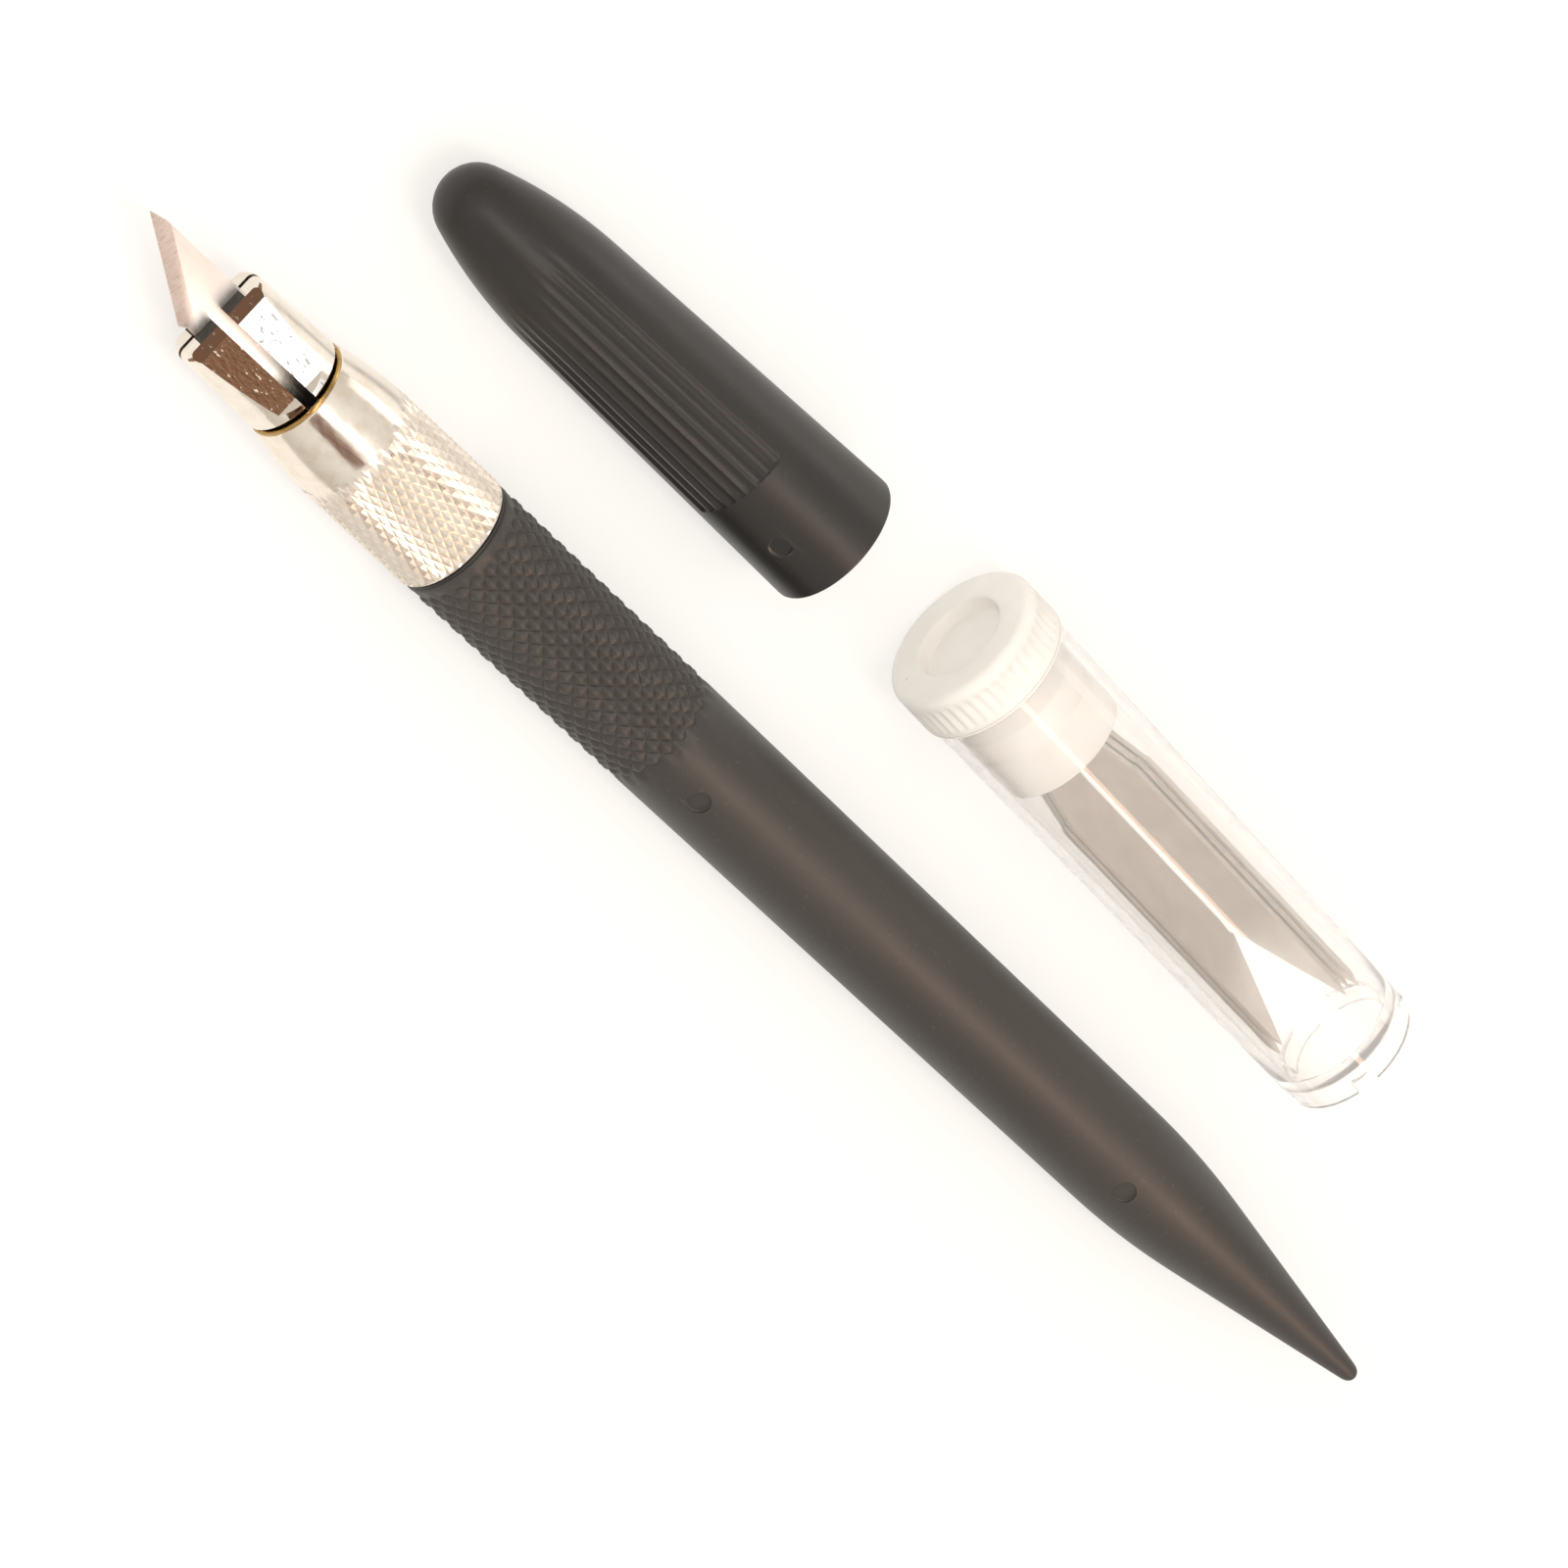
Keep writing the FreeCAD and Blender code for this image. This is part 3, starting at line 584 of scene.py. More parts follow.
class CRAFTKNIFE_OT_jaws(bpy.types.Operator):
    """Break the edges of the four jaws and finish their milled flats and bevels, with painted brown reflection on the
    bevels and the -Y flats, and painted shade on their ends
    """
    bl_idname = "craft_knife.jaws"
    bl_label = "Jaws"

    def execute(self, context):
        plating = colours().plating
        bright = plated("jaw_plating", plating, scaled(plating, 0.8), 0.16)
        flat = milled_plating("milled_flat_plating", (0.96, 0.95, 0.93), (0.20, 0.18, 0.17), 0.6)
        # On the -Y jaws (2 and 4) the milled flats are the same plating painted brown: a painted reflection, where
        # the +Y flats show white.
        brown_reflection_flat = milled_plating("milled_flat_painted_brown_reflection", (0.125, 0.066, 0.038), (0.6, 0.5, 0.4), 0.66)
        # The bevels before the flats are the plating painted dark brown: a painted reflection.
        bevel = milled_plating("bevel_plating_painted_brown_reflection", (0.20, 0.11, 0.07), (0.5, 0.4, 0.3), 0.66)
        # The end faces beside the slots are painted near-black: painted shade.
        dark = painted_shade_end("jaw_end_painted_shade", (0.03, 0.027, 0.025))
        for number in (1, 2, 3, 4):
            jaw = copy_of_node("jaw_%d" % number, "clamping_jaw_%d" % number)
            lay_down(jaw, KNIFE_PLACE.inverted())
            break_edges(jaw, 0.09)
            give(jaw, bright, flat if number % 2 else brown_reflection_flat, dark, bevel)
            open_mesh(jaw)
            up, out = (1 if number <= 2 else -1), (1 if number % 2 else -1)
            pick("FACE", lambda f: f.normal.z * up > 0.9 and station(middle(f)) < FLAT_REAR
                 and radius(middle(f)) > 2 and abs(middle(f).z) > FLAT_Z * MM)
            finish_picked(jaw, 1)
            # These bevels take the painted brown reflection.
            pick("FACE", lambda f: f.normal.x < -0.3 and f.normal.z * up > 0.3
                 and station(middle(f)) < CHAMFER_REAR and abs(middle(f).z) > CHAMFER_Z * MM)
            finish_picked(jaw, 3)
            # The end is painted with shade only near the slots: its face is parted along the painted shade's border
            # first.
            pick("FACE", lambda f: f.normal.x < -0.9 and station(middle(f)) < HEAD_FRONT + 0.2)
            bpy.ops.mesh.bisect(plane_co=(0, out * DARK_Y * MM, 0), plane_no=(0, 1, 0))
            pick("FACE", lambda f: f.normal.x < -0.9 and station(middle(f)) < HEAD_FRONT + 0.2
                 and abs(middle(f).y) < DARK_Y * MM)
            finish_picked(jaw, 2)
            smooth(jaw, 32)
            apply_modifier(jaw, "WEIGHTED_NORMAL", keep_sharp=True)
            lay_down(jaw, KNIFE_PLACE)
            hand_over(jaw, "jaw_%d_body" % number, "chrome", "jaw_%d" % number)
        return {"FINISHED"}


# ---------------------------------------------------------------- sleeve

KNURL_FRONT, KNURL_REAR = 29.6, 42.6
KNURL_ROWS = 13
NOSE_FRONT, NOSE_REAR, NOSE_R, SLEEVE_R = 22.3, 31.0, 5.15, 6.1
THREAD_REAR, THREAD_TURNS, THREAD_PITCH, THREAD_R, THREAD_CREST_R = 39.7, 8, 0.75, 4.06, 4.3


def nose_radius(x):
    """The nose is an arc that runs tangent into the cylinder."""
    if x >= NOSE_REAR:
        return SLEEVE_R
    run, drop = NOSE_REAR - NOSE_FRONT, SLEEVE_R - NOSE_R
    arc_r = (run ** 2 + drop ** 2) / (2 * drop)
    return SLEEVE_R - arc_r + math.sqrt(arc_r ** 2 - (NOSE_REAR - x) ** 2)


def cut_diamonds(grooves, front, rows, pitch, depth_at, at_radius):
    """Crossing grooves: every other corner of the grid is sunk, and the sunk corners are joined along the valleys."""
    def low(v):
        row = (station(v.co) - front) / pitch
        column = turn_from_top(v.co) * grooves / 180
        near = abs(row - round(row)) < 0.02 and -0.5 < row < rows + 0.5 and radius(v.co) > at_radius - 1.2
        return near and (round(row) + round(column)) % 2 == 0
    for row in range(rows + 1):
        x = front + row * pitch
        pick("VERT", lambda v: abs(station(v.co) - x) < 0.02 * pitch and low(v))
        move_radially(-depth_at(row), at_radius)
    pick("VERT", low)
    bpy.ops.mesh.vert_connect()
    return low


class CRAFTKNIFE_OT_sleeve(bpy.types.Operator):
    """Turn the chuck sleeve, cut its knurling, and round the edges of its brass bush"""
    bl_idname = "craft_knife.sleeve"
    bl_label = "Sleeve"

    def execute(self, context):
        grooves = sizes().sleeve_grooves
        depth = sizes().sleeve_groove_depth / MM
        pitch = (KNURL_REAR - KNURL_FRONT) / KNURL_ROWS
        nose = [NOSE_FRONT + 0.35 + (KNURL_FRONT - NOSE_FRONT - 0.35) * n / 9 for n in range(9)]
        outline = [(NOSE_FRONT, 4.9), (NOSE_FRONT, 5.02), (NOSE_FRONT + 0.05, 5.1), (NOSE_FRONT + 0.15, 5.16)]
        outline += [(x, nose_radius(x)) for x in nose]
        knurl = [KNURL_FRONT + n * pitch for n in range(KNURL_ROWS + 1)]
        outline += [(x, nose_radius(x)) for x in knurl]
        outline += [(42.75, 6.02), (42.95, 5.86), (43.0, 5.75), (43.0, 5.1), (42.9, 4.96), (42.25, 4.96),
                    (42.25, 5.4), (41.55, 5.4), (41.55, 4.96), (40.4, 4.96), (40.4, THREAD_R)]
        # The hidden thread inside is plain ridges at its pitch.
        for n in range(THREAD_TURNS):
            x = THREAD_REAR - n * THREAD_PITCH
            outline += [(x + 0.3, THREAD_R), (x, THREAD_CREST_R), (x - 0.3, THREAD_R)]
        outline += [(33.5, THREAD_R), (33.5, 4.5), (24.6, 4.5), (24.6, 4.9), (NOSE_FRONT, 4.9)]
        sleeve = spin_outline("knurled_sleeve", outline, 2 * grooves)
        fade = {0: 0.35, 1: 0.7}
        cut_diamonds(grooves, KNURL_FRONT, KNURL_ROWS, pitch, lambda row: depth * fade.get(row, 1), SLEEVE_R)
        smooth(sleeve, 12)
        plating = colours().plating
        stain = tuple(c * m for c, m in zip(plating, (0.84, 0.78, 0.7)))
        valley_tone = tuple(c * m for c, m in zip(plating, (0.62, 0.53, 0.42)))
        give(sleeve, plated("sleeve_plating", plating, stain, 0.17),
             knurled_plating("knurl_plating", plating, valley_tone))
        open_mesh(sleeve)
        pick("FACE", lambda f: KNURL_FRONT < station(middle(f)) < KNURL_REAR and radius(middle(f)) > 5.5)
        finish_picked(sleeve, 1)
        lay_down(sleeve, KNIFE_PLACE)
        hand_over(sleeve, "sleeve_body", "chrome", "chuck_sleeve")

        bush = copy_of_node("sleeve_bush", "brass_bush")
        break_edges(bush, 0.06)
        smooth(bush, 32)
        give(bush, brass_finish())
        hand_over(bush, "sleeve_body", "brass", "sleeve_bush")
        return {"FINISHED"}


def brass_finish():
    found = bpy.data.materials.get("aged_brass")
    brass = colours().brass
    return found or plated("aged_brass", brass, (brass[0] * 0.5, brass[1] * 0.42, brass[2] * 0.35), 0.24)


# ---------------------------------------------------------------- handle

JOINT, GRIP_FRONT, GRIP_ROWS, GRIP_PITCH = 43.3, 44.3, 27, 1.0
BODY_RUNS = [(43.55, 6.0), (71.8, 5.82), (137.0, 5.34)]
SHOULDER = ((137.0, 5.34), (143.0, 4.98), (148.0, 4.34))
TAIL_S, TAIL_R, TIP_S, TIP_R = 148.0, 4.34, 169.6, 0.9
SOCKET_REAR, SOCKET_R = 62.0, 4.6
EJECTOR_MARKS = [(76.6, -25.0), (136.2, -22.0)]      # station and degrees from the top


def handle_radius(x):
    """Grip, body and tail of the handle at a station."""
    for (x0, r0), (x1, r1) in zip(BODY_RUNS, BODY_RUNS[1:]):
        if x <= x1:
            return r0 + (r1 - r0) * (x - x0) / (x1 - x0)
    if x >= TAIL_S:
        return TAIL_R - (x - TAIL_S) * (TAIL_R - TIP_R) / (TIP_S - TAIL_S)
    # The shoulder is a parabola through its three points.
    a, b, c = SHOULDER
    return sum(p[1] * (x - q[0]) * (x - r[0]) / ((p[0] - q[0]) * (p[0] - r[0]))
               for p, q, r in ((a, b, c), (b, a, c), (c, a, b)))


def press_mark(piece, at, degrees, surface_r, size, depth):
    """A shallow round mark left by a mould's ejector pin, cut with a bevelled disc."""
    put_down()
    bpy.ops.mesh.primitive_cylinder_add(vertices=40, radius=size / 2 * MM, depth=2 * MM)
    disc = bpy.context.object
    open_mesh(disc)
    pick("FACE", lambda f: f.normal.z < -0.9)
    bpy.ops.mesh.inset(thickness=0.16 * MM, depth=0.12 * MM)
    angle = math.radians(-degrees)
    lay_down(disc, Matrix.Translation((at * MM, 0, 0)) @ Matrix.Rotation(angle, 4, "X")
             @ Matrix.Translation((0, 0, (surface_r - depth + 1) * MM)))
    cut_away(piece, disc)


class CRAFTKNIFE_OT_handle(bpy.types.Operator):
    """Mould the handle with its diamond grip, tail and ejector marks"""
    bl_idname = "craft_knife.handle"
    bl_label = "Handle"

    def execute(self, context):
        grooves = sizes().grip_grooves
        depth = sizes().grip_groove_depth / MM
        outline = [(JOINT, SOCKET_R), (JOINT, 4.66), (JOINT, 5.6), (JOINT + 0.04, 5.82), (JOINT + 0.15, 5.95),
                   (JOINT + 0.4, 5.99)]
        # The crests are drawn high, because smoothing the mesh later draws them in again.
        for n in range(GRIP_ROWS + 1):
            x = GRIP_FRONT + n * GRIP_PITCH
            outline.append((x, handle_radius(x) + depth * (0.2 if n in (0, GRIP_ROWS) else 0.64)))
        body = [72.2, 73.5, 76, 80, 86, 94, 104, 114, 124, 131, 135, 138, 141, 144, 146.5, 149, 153, 158, 163, 167,
                169]
        outline += [(x, handle_radius(x)) for x in body]
        outline += [(169.9, 0.86), (170.3, 0.58), (170.47, 0.3), (170.5, 0), (SOCKET_REAR, 0), (SOCKET_REAR, 4.5),
                    (SOCKET_REAR, SOCKET_R), (61.5, SOCKET_R), (44.0, SOCKET_R), (JOINT, SOCKET_R)]
        handle = spin_outline("moulded_handle", outline, 2 * grooves)
        low = cut_diamonds(grooves, GRIP_FRONT, GRIP_ROWS, GRIP_PITCH,
                           lambda row: depth * (0.5 if row in (0, GRIP_ROWS) else 1), 5.9)
        pick("EDGE", lambda e: low(e.verts[0]) and low(e.verts[1]))
        bpy.ops.transform.edge_crease(value=0.55)
        apply_modifier(handle, "SUBSURF", levels=2, render_levels=2)
        for at, degrees in EJECTOR_MARKS:
            press_mark(handle, at, degrees, handle_radius(at), 2.3, 0.22)
        smooth(handle, 28)
        plastic = colours().plastic
        give(handle, moulded_plastic("handle_plastic", plastic, scaled(plastic, 1.35), 0.46))
        lay_down(handle, KNIFE_PLACE)
        hand_over(handle, "handle_body", "dark_plastic", "handle")
        return {"FINISHED"}


# ---------------------------------------------------------------- cap

FLUTES, FLUTE_FRONT, FLUTE_REAR = 9, 9.0, 39.0
FIRST_RIDGE = 17.5             # degrees from the top; the flutes go on from here towards -Y
COLUMN = 2.5                   # degrees between the columns of faces; four make a flute
FLUTE_PROFILE = ((1, 0.78), (2, 1.0), (3, 0.78))     # column of a flute and its share of the depth
OGIVE_R = 50.0
SEAT_S, SEAT_R = 30.5, 5.3
DOME_S, DOME_R, DOME_DEPTH = 14.0, 4.75, 12.4


def cone_radius(s):
    return CAP_NOSE_R + (s - CAP_NOSE_S) * math.tan(CAP_SLOPE)


def cap_outline():
    """Ball end, ogive and cone outside; bore, seat and domed end inside."""
    centre_x = CAP_NOSE_S + OGIVE_R * math.sin(CAP_SLOPE)
    centre_r = CAP_NOSE_R - OGIVE_R * math.cos(CAP_SLOPE)
    ball = (OGIVE_R ** 2 - centre_x ** 2 - centre_r ** 2) / (2 * (OGIVE_R - centre_x))
    away = math.degrees(math.atan2(-centre_r, centre_x - ball))
    outline = arc((ball, 0), ball, 180, 180 - away, 8)
    outline += arc((centre_x, centre_r), OGIVE_R, 180 - away, 90 + math.degrees(CAP_SLOPE), 10)[1:]
    outline += [(s, cone_radius(s)) for s in [*range(17, 40), 39.2, 40, 42.5, 45.5, 48.5, 51.1]]
    end = CAP_LENGTH
    outline += [(end - 0.15, CAP_MOUTH_R - 0.02), (end - 0.03, CAP_MOUTH_R - 0.1), (end, CAP_MOUTH_R - 0.2),
                (end, CAP_BORE_R + 0.12), (end - 0.07, CAP_BORE_R + 0.02), (end - 0.2, CAP_BORE_R),
                (CAP_BORE_S, CAP_BORE_R), (SEAT_S, SEAT_R), (DOME_S, DOME_R)]
    dome = [math.radians(t) for t in range(15, 91, 15)]
    outline += [(DOME_S - DOME_DEPTH * math.sin(t), DOME_R * math.cos(t)) for t in dome]
    return outline


def in_flute(v, number, column):
    angle = FIRST_RIDGE - COLUMN * (4 * number + column)
    return abs(turn_from_top(v.co) - angle) < 0.5


def outside_cap(v):
    s = station(v.co)
    return radius(v.co) > (4.9 if s < CAP_NOSE_S else cone_radius(s) - 0.1)


class CRAFTKNIFE_OT_cap(bpy.types.Operator):
    """Mould the cap with its panel of flutes and its ejector mark"""
    bl_idname = "craft_knife.cap"
    bl_label = "Cap"

    def execute(self, context):
        depth = sizes().flute_depth / MM
        cap = spin_outline("fluted_cap", cap_outline(), round(360 / COLUMN))
        rows = sorted({round(station(v.co), 2) for v in bmesh.from_edit_mesh(cap.data).verts if outside_cap(v)})
        for number in range(FLUTES):
            start = FLUTE_FRONT + 0.5 * number
            for row in rows:
                if not start < row < FLUTE_REAR + 0.05:
                    continue
                fade = min(1, (row - start) / 4) ** 0.7
                for column, share in FLUTE_PROFILE:
                    if pick("VERT", lambda v: abs(station(v.co) - row) < 0.02 and in_flute(v, number, column)
                            and outside_cap(v)):
                        move_radially(-depth * share * fade, 6.3)
        # The ridges' crests are rounded, and a small gate mark stands at the end of the first.
        pick("EDGE", lambda e: abs(e.verts[0].co.x - e.verts[1].co.x) > 0.3 * MM
             and 12 < station(middle(e)) < FLUTE_REAR
             and radius(middle(e)) > 5.5
             and any(in_flute(v, n, 0) for v in e.verts[:1] for n in range(FLUTES + 1)))
        bpy.ops.mesh.bevel(offset=0.07 * MM, segments=2, affect="EDGES")
        pick("FACE", lambda f: 39.0 < station(middle(f)) < 39.2 and 17.5 < turn_from_top(middle(f)) < 22.5
             and radius(middle(f)) > 6.3)
        bpy.ops.mesh.inset(thickness=0.04 * MM, depth=0.12 * MM)
        press_mark(cap, 45.5, -36, 6.6, 2.2, 0.2)
        smooth(cap, 28)
        plastic = colours().plastic
        give(cap, moulded_plastic("cap_plastic", scaled(plastic, 0.4),
                                  scaled(plastic, 0.6), 0.4))
        cap.visible_glossy = False           # keeps a dark streak off the plating beside it
        lay_down(cap, CAP_PLACE)
        hand_over(cap, "cap_body", "dark_plastic", "cap")
        return {"FINISHED"}


# ---------------------------------------------------------------- vial

VIAL_FLOOR_TOP, FOOT_FLOOR = 56.6, 57.8
NOTCH_TURNS = [-10.5 + 90 * n for n in range(4)]
DISH_R, LID_EDGE = 4.45, 0.85
PLUG_CLEARANCE, PLUG_WALL = 0.06, 1.0


def vial_radius(s):
    return VIAL_TOP_R + (VIAL_BASE_R - VIAL_TOP_R) * (s - LID_HEIGHT) / (VIAL_LENGTH - LID_HEIGHT)


class CRAFTKNIFE_OT_vial(bpy.types.Operator):
    """Mould the clear vial with its rounded foot ring and notches"""
    bl_idname = "craft_knife.vial"
    bl_label = "Vial"

    def execute(self, context):
        def inner(s):
            return vial_radius(s) - VIAL_WALL
        outline = [(5.06, inner(5.1) + 0.15), (5.06, vial_radius(5.1) - 0.15), (5.2, vial_radius(5.2))]
        outline += [(s, vial_radius(s)) for s in (12, 20, 28, 36, 44, 52, 57)]
        outline += arc((59.4, VIAL_BASE_R - 0.4), 0.4, 90, 0, 4)
        outline += arc((59.55, VIAL_BASE_R - 0.85), 0.25, 0, -90, 3)
        outline += arc((58.2, inner(57.8) - 0.35), 0.4, 90, 180, 4) + [(FOOT_FLOOR, 3.0), (FOOT_FLOOR, 0)]
        outline += [(VIAL_FLOOR_TOP, 0), (VIAL_FLOOR_TOP, 3.0)]
        outline += arc((VIAL_FLOOR_TOP - 0.6, inner(56) - 0.6), 0.6, 0, 90, 5)
        outline += [(s, inner(s)) for s in (52, 44, 36, 28, 20, 12, 5.25)]
        outline += [(5.06, inner(5.1) + 0.15)]
        vial = spin_outline("clear_vial", outline, 96)
        put_down()
        bpy.ops.mesh.primitive_cube_add(size=MM)
        notch = bpy.context.object
        notch.scale = (2.8, 2.2, 4.0)
        notch.location = (VIAL_LENGTH * MM, 0, VIAL_BASE_R * MM)
        bpy.ops.object.transform_apply(location=True, rotation=True, scale=True)
        apply_modifier(notch, "BEVEL", width=0.3 * MM, segments=3)
        for turn in NOTCH_TURNS:
            cutter = copy_of_piece(notch, "notch_cutter")
            lay_down(cutter, Matrix.Rotation(math.radians(-turn), 4, "X"))
            cut_away(vial, cutter)
        bpy.data.objects.remove(notch)
        smooth(vial, 35)
        give(vial, clear_plastic("clear_tube_plastic", colours().tube))
        vial.visible_shadow = False          # light reaches what is inside
        lay_down(vial, VIAL_PLACE)
        hand_over(vial, "vial_body_group", "clear_plastic", "vial_body")
        return {"FINISHED"}


class CRAFTKNIFE_OT_lid(bpy.types.Operator):
    """Mould the vial's dished lid with its ribbed skirt and plug"""
    bl_idname = "craft_knife.lid"
    bl_label = "Lid"

    def execute(self, context):
        ribs = sizes().lid_ribs
        height = sizes().lid_rib_height / MM
        plug, plug_end = (vial_radius(s) - VIAL_WALL - PLUG_CLEARANCE for s in (5, 15))
        outline = [(1.3, 0), (1.3, 2.5), (1.3, DISH_R - 0.7)] + arc((1.0, DISH_R - 0.6), 0.3, 0, 60, 3)
        outline += [(0.9, DISH_R - 0.28), (0.35, DISH_R - 0.1), (0.12, DISH_R - 0.04), (0.02, DISH_R + 0.1),
                    (0, DISH_R + 0.3)]
        outline += arc((LID_EDGE, LID_R - LID_EDGE), LID_EDGE, 180, 90, 6)
        outline += [(1.3, LID_R), (1.45, LID_R), (2.9, LID_R), (4.0, LID_R), (4.15, LID_R), (4.6, LID_R),
                    (4.62, LID_R - 0.12), (4.74, LID_R - 0.14), (4.78, LID_R - 0.02), (4.95, LID_R - 0.03),
                    (5.0, LID_R - 0.12), (5.0, plug + 0.02), (5.3, plug)]
        # Two shallow grooves run round the plug.
        for s in (7.6, 10.4):
            r = plug + (plug_end - plug) * (s - 5) / 10
            outline += [(s - 0.35, r), (s - 0.2, r - 0.09), (s + 0.2, r - 0.09), (s + 0.35, r)]
        outline += [(14.7, plug_end), (15.0, plug_end - 0.2), (15.0, plug_end - 0.8), (14.9, plug_end - PLUG_WALL),
                    (5.0, plug - PLUG_WALL), (2.9, plug - PLUG_WALL), (2.5, plug - 1.4), (2.5, 3.0), (2.5, 0)]
        lid = spin_outline("ribbed_lid", outline, 4 * ribs)

        def between_ribs(v):
            column = round(turn_from_top(v.co) * 4 * ribs / 360)
            return 1.4 < station(v.co) < 4.1 and radius(v.co) > LID_R - 0.3 and column % 4 in (0, 1)
        pick("VERT", between_ribs)
        move_radially(-height, LID_R)
        lid_colour = colours().lid
        shade = scaled(lid_colour, 0.95)
        give(lid, milky_plastic("milky_lid_plastic", lid_colour, shade, 0.15),
             milky_plastic("thin_plug_plastic", (0.98, 0.97, 0.95), lid_colour, 0.72))
        pick("FACE", lambda f: station(middle(f)) > 5.05)
        finish_picked(lid, 1)
        smooth(lid, 35)
        lay_down(lid, VIAL_PLACE)
        hand_over(lid, "lid_body", "milky_plastic", "vial_lid")
        return {"FINISHED"}


# ---------------------------------------------------------------- kept parts

class CRAFTKNIFE_OT_inner_parts(bpy.types.Operator):
    """Finish the parts inside the handle that keep their plain machined shape"""
    bl_idname = "craft_knife.inner_parts"
    bl_label = "Inner Parts"

    def execute(self, context):
        plating = colours().plating
        finishes = {
            "collet_stem": plated("stem_plating", plating, scaled(plating, 0.75), 0.22, (1, 6, 6)),
            "collet_socket": brass_finish(),
            "sleeve_clip": plated("spring_steel", (0.34, 0.35, 0.38), (0.16, 0.14, 0.16), 0.3),
            "thrust_washer": moulded_plastic("washer_plastic", (0.008, 0.008, 0.008), (0.015, 0.014, 0.013), 0.5),
        }
        for node, finish in finishes.items():
            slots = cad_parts[node].material_slots
            if not slots:
                raise RuntimeError("the node %s has no material slot" % node)
            for slot in slots:
                slot.material = finish
        return {"FINISHED"}


# ---------------------------------------------------------------- stage

CAMERA_AT = (-677.7, 0.0, 1315.7)      # from the blade's point, in mm
CAMERA_AIM = (84.6, 3.9, 0.0)
CAMERA_ROLL = 132.8
CAMERA_LENS = 396.6
LAMP_SIZE, LAMP_DEPTH = 0.5, 0.12      # in m

# Each card's corners from the blade's point in mm, its colour and its strength.
CARDS = {
    "strip_light": ([(20, 0, 560), (380, 0, 470), (380, 45, 470), (20, 60, 560)], (1, 0.98, 0.95), 2.6),
    "brown_card": ([(-60, -240, 500), (260, -250, 420), (260, -85, 420), (-60, 0, 500)], (0.22, 0.12, 0.085), 1.0),
    "warm_strip": ([(350, -50, 470), (740, -50, 420), (740, 22, 420), (350, 22, 470)], (1.0, 0.62, 0.42), 17.0),
    "side_strip": ([(120, 440, 15), (480, 440, 15), (480, 430, 150), (120, 430, 150)], (1.0, 0.94, 0.88), 2.4),
}


def from_point(x, y, z):
    """A place given in mm from the blade's point."""
    return KNIFE_FRONT + Vector((x, y, z)) * MM


def glowing(name, colour, strength):
    card = bpy.data.materials.new(name)
    card.use_nodes = True
    shader = card.node_tree.nodes["Principled BSDF"]
    shader.inputs["Base Color"].default_value = (0, 0, 0, 1)
    shader.inputs["Specular IOR Level"].default_value = 0
    shader.inputs["Emission Color"].default_value = (*colour, 1)
    shader.inputs["Emission Strength"].default_value = strength
    return card


def set_card(name, corners, colour, strength):
    """A studio card that only shows in reflections: a plane whose corners are moved where they belong."""
    put_down()
    bpy.ops.mesh.primitive_plane_add(size=2)
    card = bpy.context.object
    card.name = name
    open_mesh(card)
    for sign_x, sign_y, corner in zip((-1, 1, 1, -1), (-1, -1, 1, 1), corners):
        pick("VERT", lambda v: abs(v.co.x - sign_x) < 1e-4 and abs(v.co.y - sign_y) < 1e-4 and v.co.z == 0)
        bpy.ops.transform.translate(value=from_point(*corner) - Vector((sign_x, sign_y, 0)))
    put_down()
    give(card, glowing(name, colour, strength))
    card.visible_camera = False
    card.visible_diffuse = False
    card.visible_shadow = False
    card.visible_transmission = False


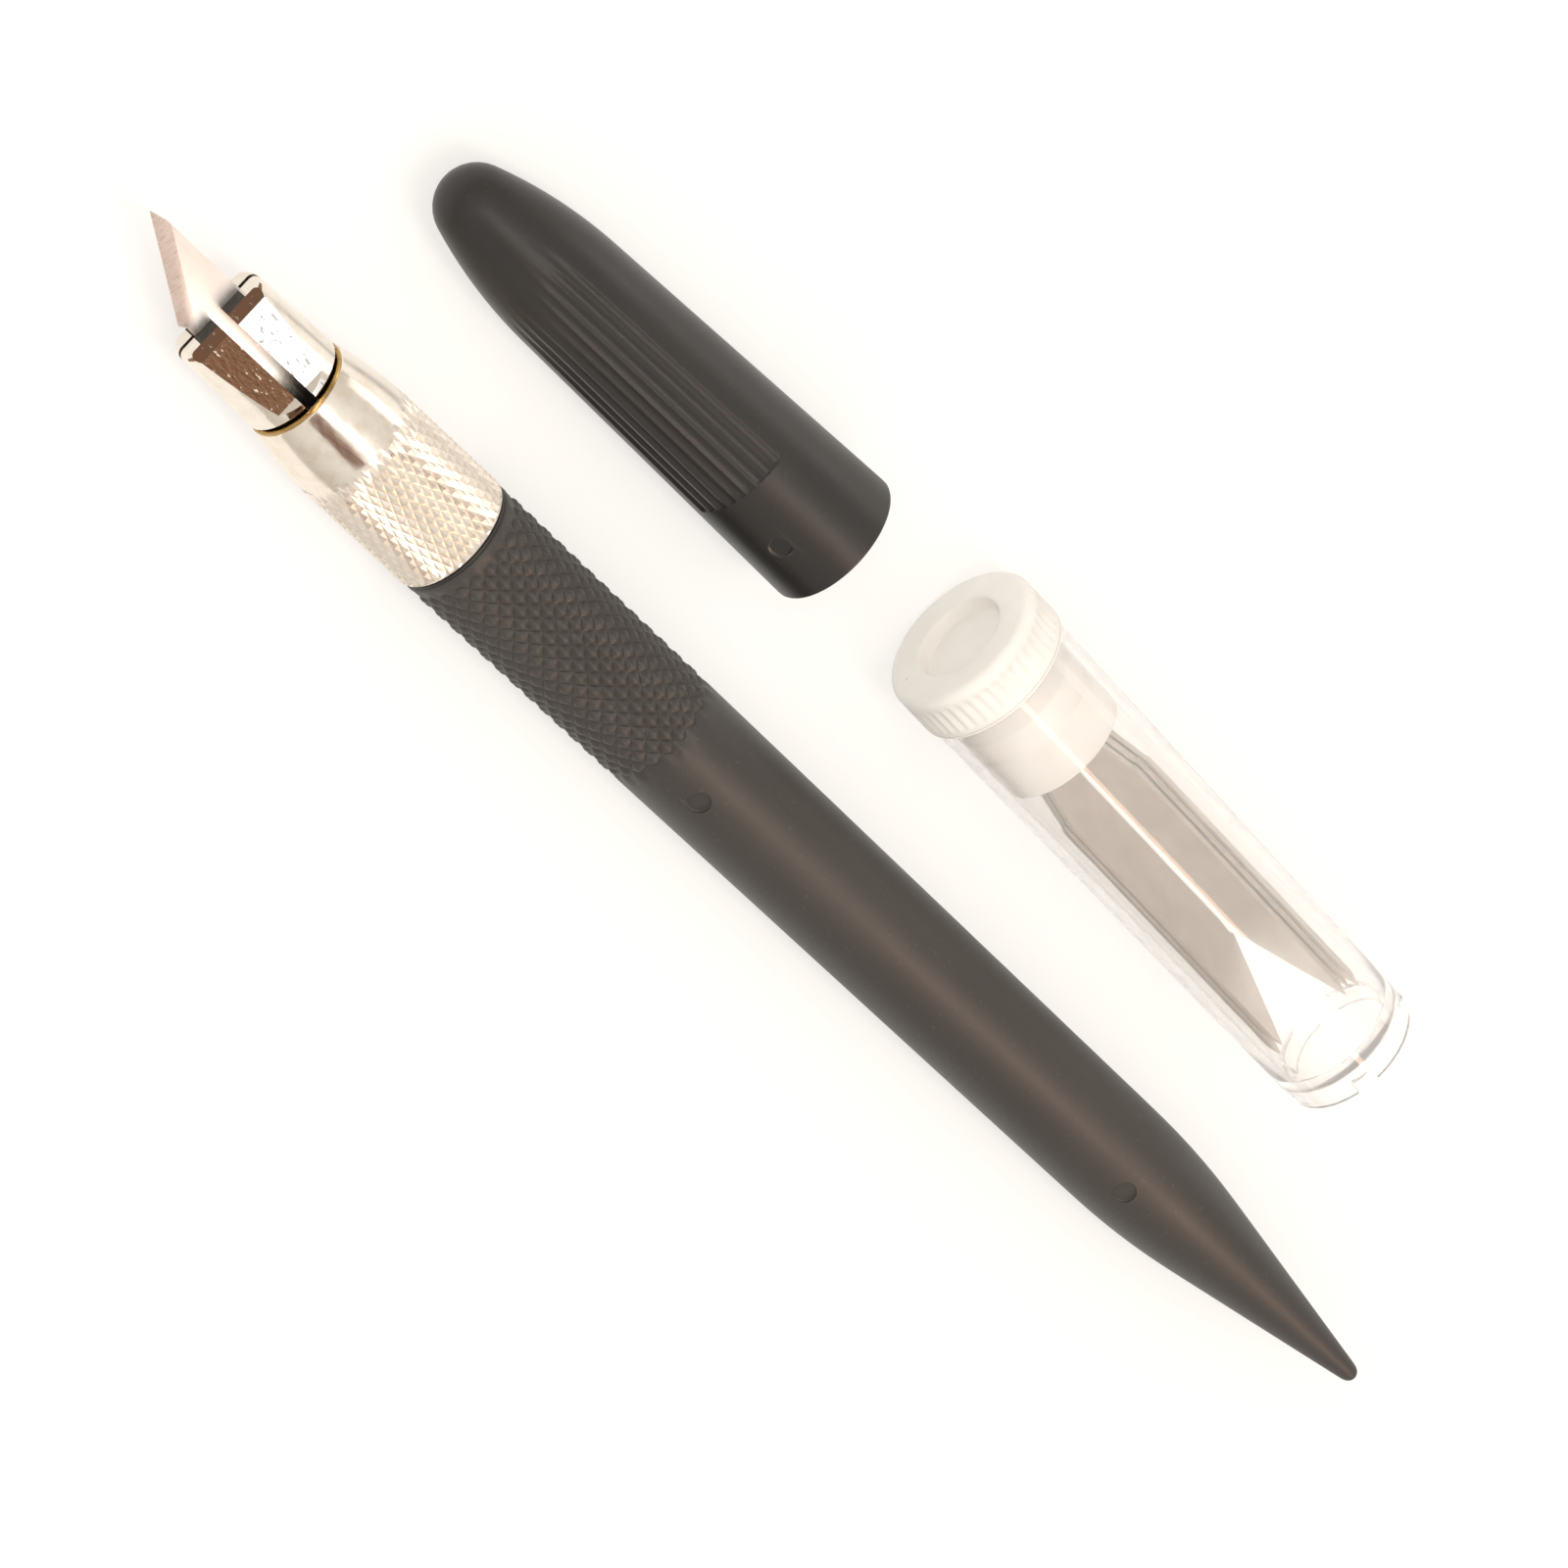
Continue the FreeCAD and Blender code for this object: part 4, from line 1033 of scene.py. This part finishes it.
class CRAFTKNIFE_OT_stage(bpy.types.Operator):
    """Set the pale floor, the soft light, the reflection cards and the camera"""
    bl_idname = "craft_knife.stage"
    bl_label = "Stage"

    def execute(self, context):
        scene = context.scene
        scene.view_settings.view_transform = "Standard"

        put_down()
        bpy.ops.mesh.primitive_plane_add(size=60)
        floor = context.object
        floor.name = "floor"
        paper = Finish("pale_paper", (0.42, 0.41, 0.39), 0.9)
        paper.tint(paper.levels(paper.grain(40), 0.3, 0.7, 0, 0.3), (0.44, 0.42, 0.40))
        paper.shader.inputs["Emission Color"].default_value = (1.0, 0.985, 0.965, 1)
        paper.shader.inputs["Emission Strength"].default_value = 0.58
        give(floor, paper.material)

        world = bpy.data.worlds.new("studio")
        scene.world = world
        world.use_nodes = True
        nodes, links = world.node_tree.nodes, world.node_tree.links
        place = nodes.new("ShaderNodeTexCoord")
        height = nodes.new("ShaderNodeSeparateXYZ")
        ramp = nodes.new("ShaderNodeValToRGB")
        links.new(place.outputs["Generated"], height.inputs["Vector"])
        links.new(height.outputs["Z"], ramp.inputs["Fac"])
        links.new(ramp.outputs["Color"], nodes["Background"].inputs["Color"])
        ramp.color_ramp.elements[0].position = 0.0
        ramp.color_ramp.elements[0].color = (0.62, 0.57, 0.51, 1)
        ramp.color_ramp.elements[1].position = 0.9
        ramp.color_ramp.elements[1].color = (1.0, 0.97, 0.93, 1)
        nodes["Background"].inputs["Strength"].default_value = 1.0

        for name, (corners, colour, strength) in CARDS.items():
            set_card(name, corners, colour, strength)

        bpy.ops.object.light_add(type="AREA", location=from_point(150, 60, 700))
        lamp = context.object
        lamp.name = "soft_light"
        lamp.data.shape = "RECTANGLE"
        lamp.data.size = LAMP_SIZE
        lamp.data.size_y = LAMP_DEPTH
        lamp.data.energy = 1.2
        lamp.data.color = (1.0, 0.94, 0.87)

        bpy.ops.object.light_add(type="AREA", location=from_point(-400, 40, 420))
        fill = context.object
        fill.name = "front_fill"
        fill.data.size = LAMP_SIZE
        fill.data.energy = 1.3
        fill.data.color = (1.0, 0.96, 0.91)
        fill.rotation_euler = (from_point(60, 0, 0) - fill.location).to_track_quat("-Z", "Y").to_euler()
        fill.visible_glossy = False

        bpy.ops.object.camera_add()
        camera = context.object
        camera.name = "camera"
        at, aim = from_point(*CAMERA_AT), from_point(*CAMERA_AIM)
        ahead = (aim - at).normalized()
        level = ahead.cross(Vector((0, 0, 1))).normalized()
        upright = level.cross(ahead)
        roll = math.radians(CAMERA_ROLL)
        right = level * math.cos(roll) + upright * math.sin(roll)
        up = upright * math.cos(roll) - level * math.sin(roll)
        turn = Matrix((right, up, -ahead)).transposed().to_4x4()
        camera.matrix_world = Matrix.Translation(at) @ turn
        camera.data.lens = CAMERA_LENS
        camera.data.sensor_width = 36
        camera.data.clip_start = 0.01
        camera.data.clip_end = 200
        scene.camera = camera
        return {"FINISHED"}


# ---------------------------------------------------------------- panel

STEPS = (
    CRAFTKNIFE_OT_stage,
    CRAFTKNIFE_OT_blades,
    CRAFTKNIFE_OT_jaws,
    CRAFTKNIFE_OT_sleeve,
    CRAFTKNIFE_OT_handle,
    CRAFTKNIFE_OT_cap,
    CRAFTKNIFE_OT_vial,
    CRAFTKNIFE_OT_lid,
    CRAFTKNIFE_OT_inner_parts,
)


class CRAFTKNIFE_PT_panel(bpy.types.Panel):
    """Sizes, colours and the pieces of the craft knife"""
    bl_idname = "CRAFTKNIFE_PT_panel"
    bl_label = "Craft Knife"
    bl_space_type = "VIEW_3D"
    bl_region_type = "UI"
    bl_category = "Craft Knife"

    def draw(self, context):
        for group in (context.scene.craft_knife_sizes, context.scene.craft_knife_colours):
            box = self.layout.box()
            for name in group.__annotations__:
                box.prop(group, name)
        for step in STEPS:
            self.layout.operator(step.bl_idname)


CLASSES = (KnifeSizes, KnifeColours) + STEPS + (CRAFTKNIFE_PT_panel,)


def register():
    for cls in CLASSES:
        bpy.utils.register_class(cls)
    bpy.types.Scene.craft_knife_sizes = bpy.props.PointerProperty(type=KnifeSizes)
    bpy.types.Scene.craft_knife_colours = bpy.props.PointerProperty(type=KnifeColours)


def unregister():
    del bpy.types.Scene.craft_knife_colours
    del bpy.types.Scene.craft_knife_sizes
    for cls in reversed(CLASSES):
        bpy.utils.unregister_class(cls)


def main():
    register()
    for step in STEPS:
        group, name = step.bl_idname.split(".")
        getattr(getattr(bpy.ops, group), name)()
    put_down()


if __name__ == "__main__":
    main()
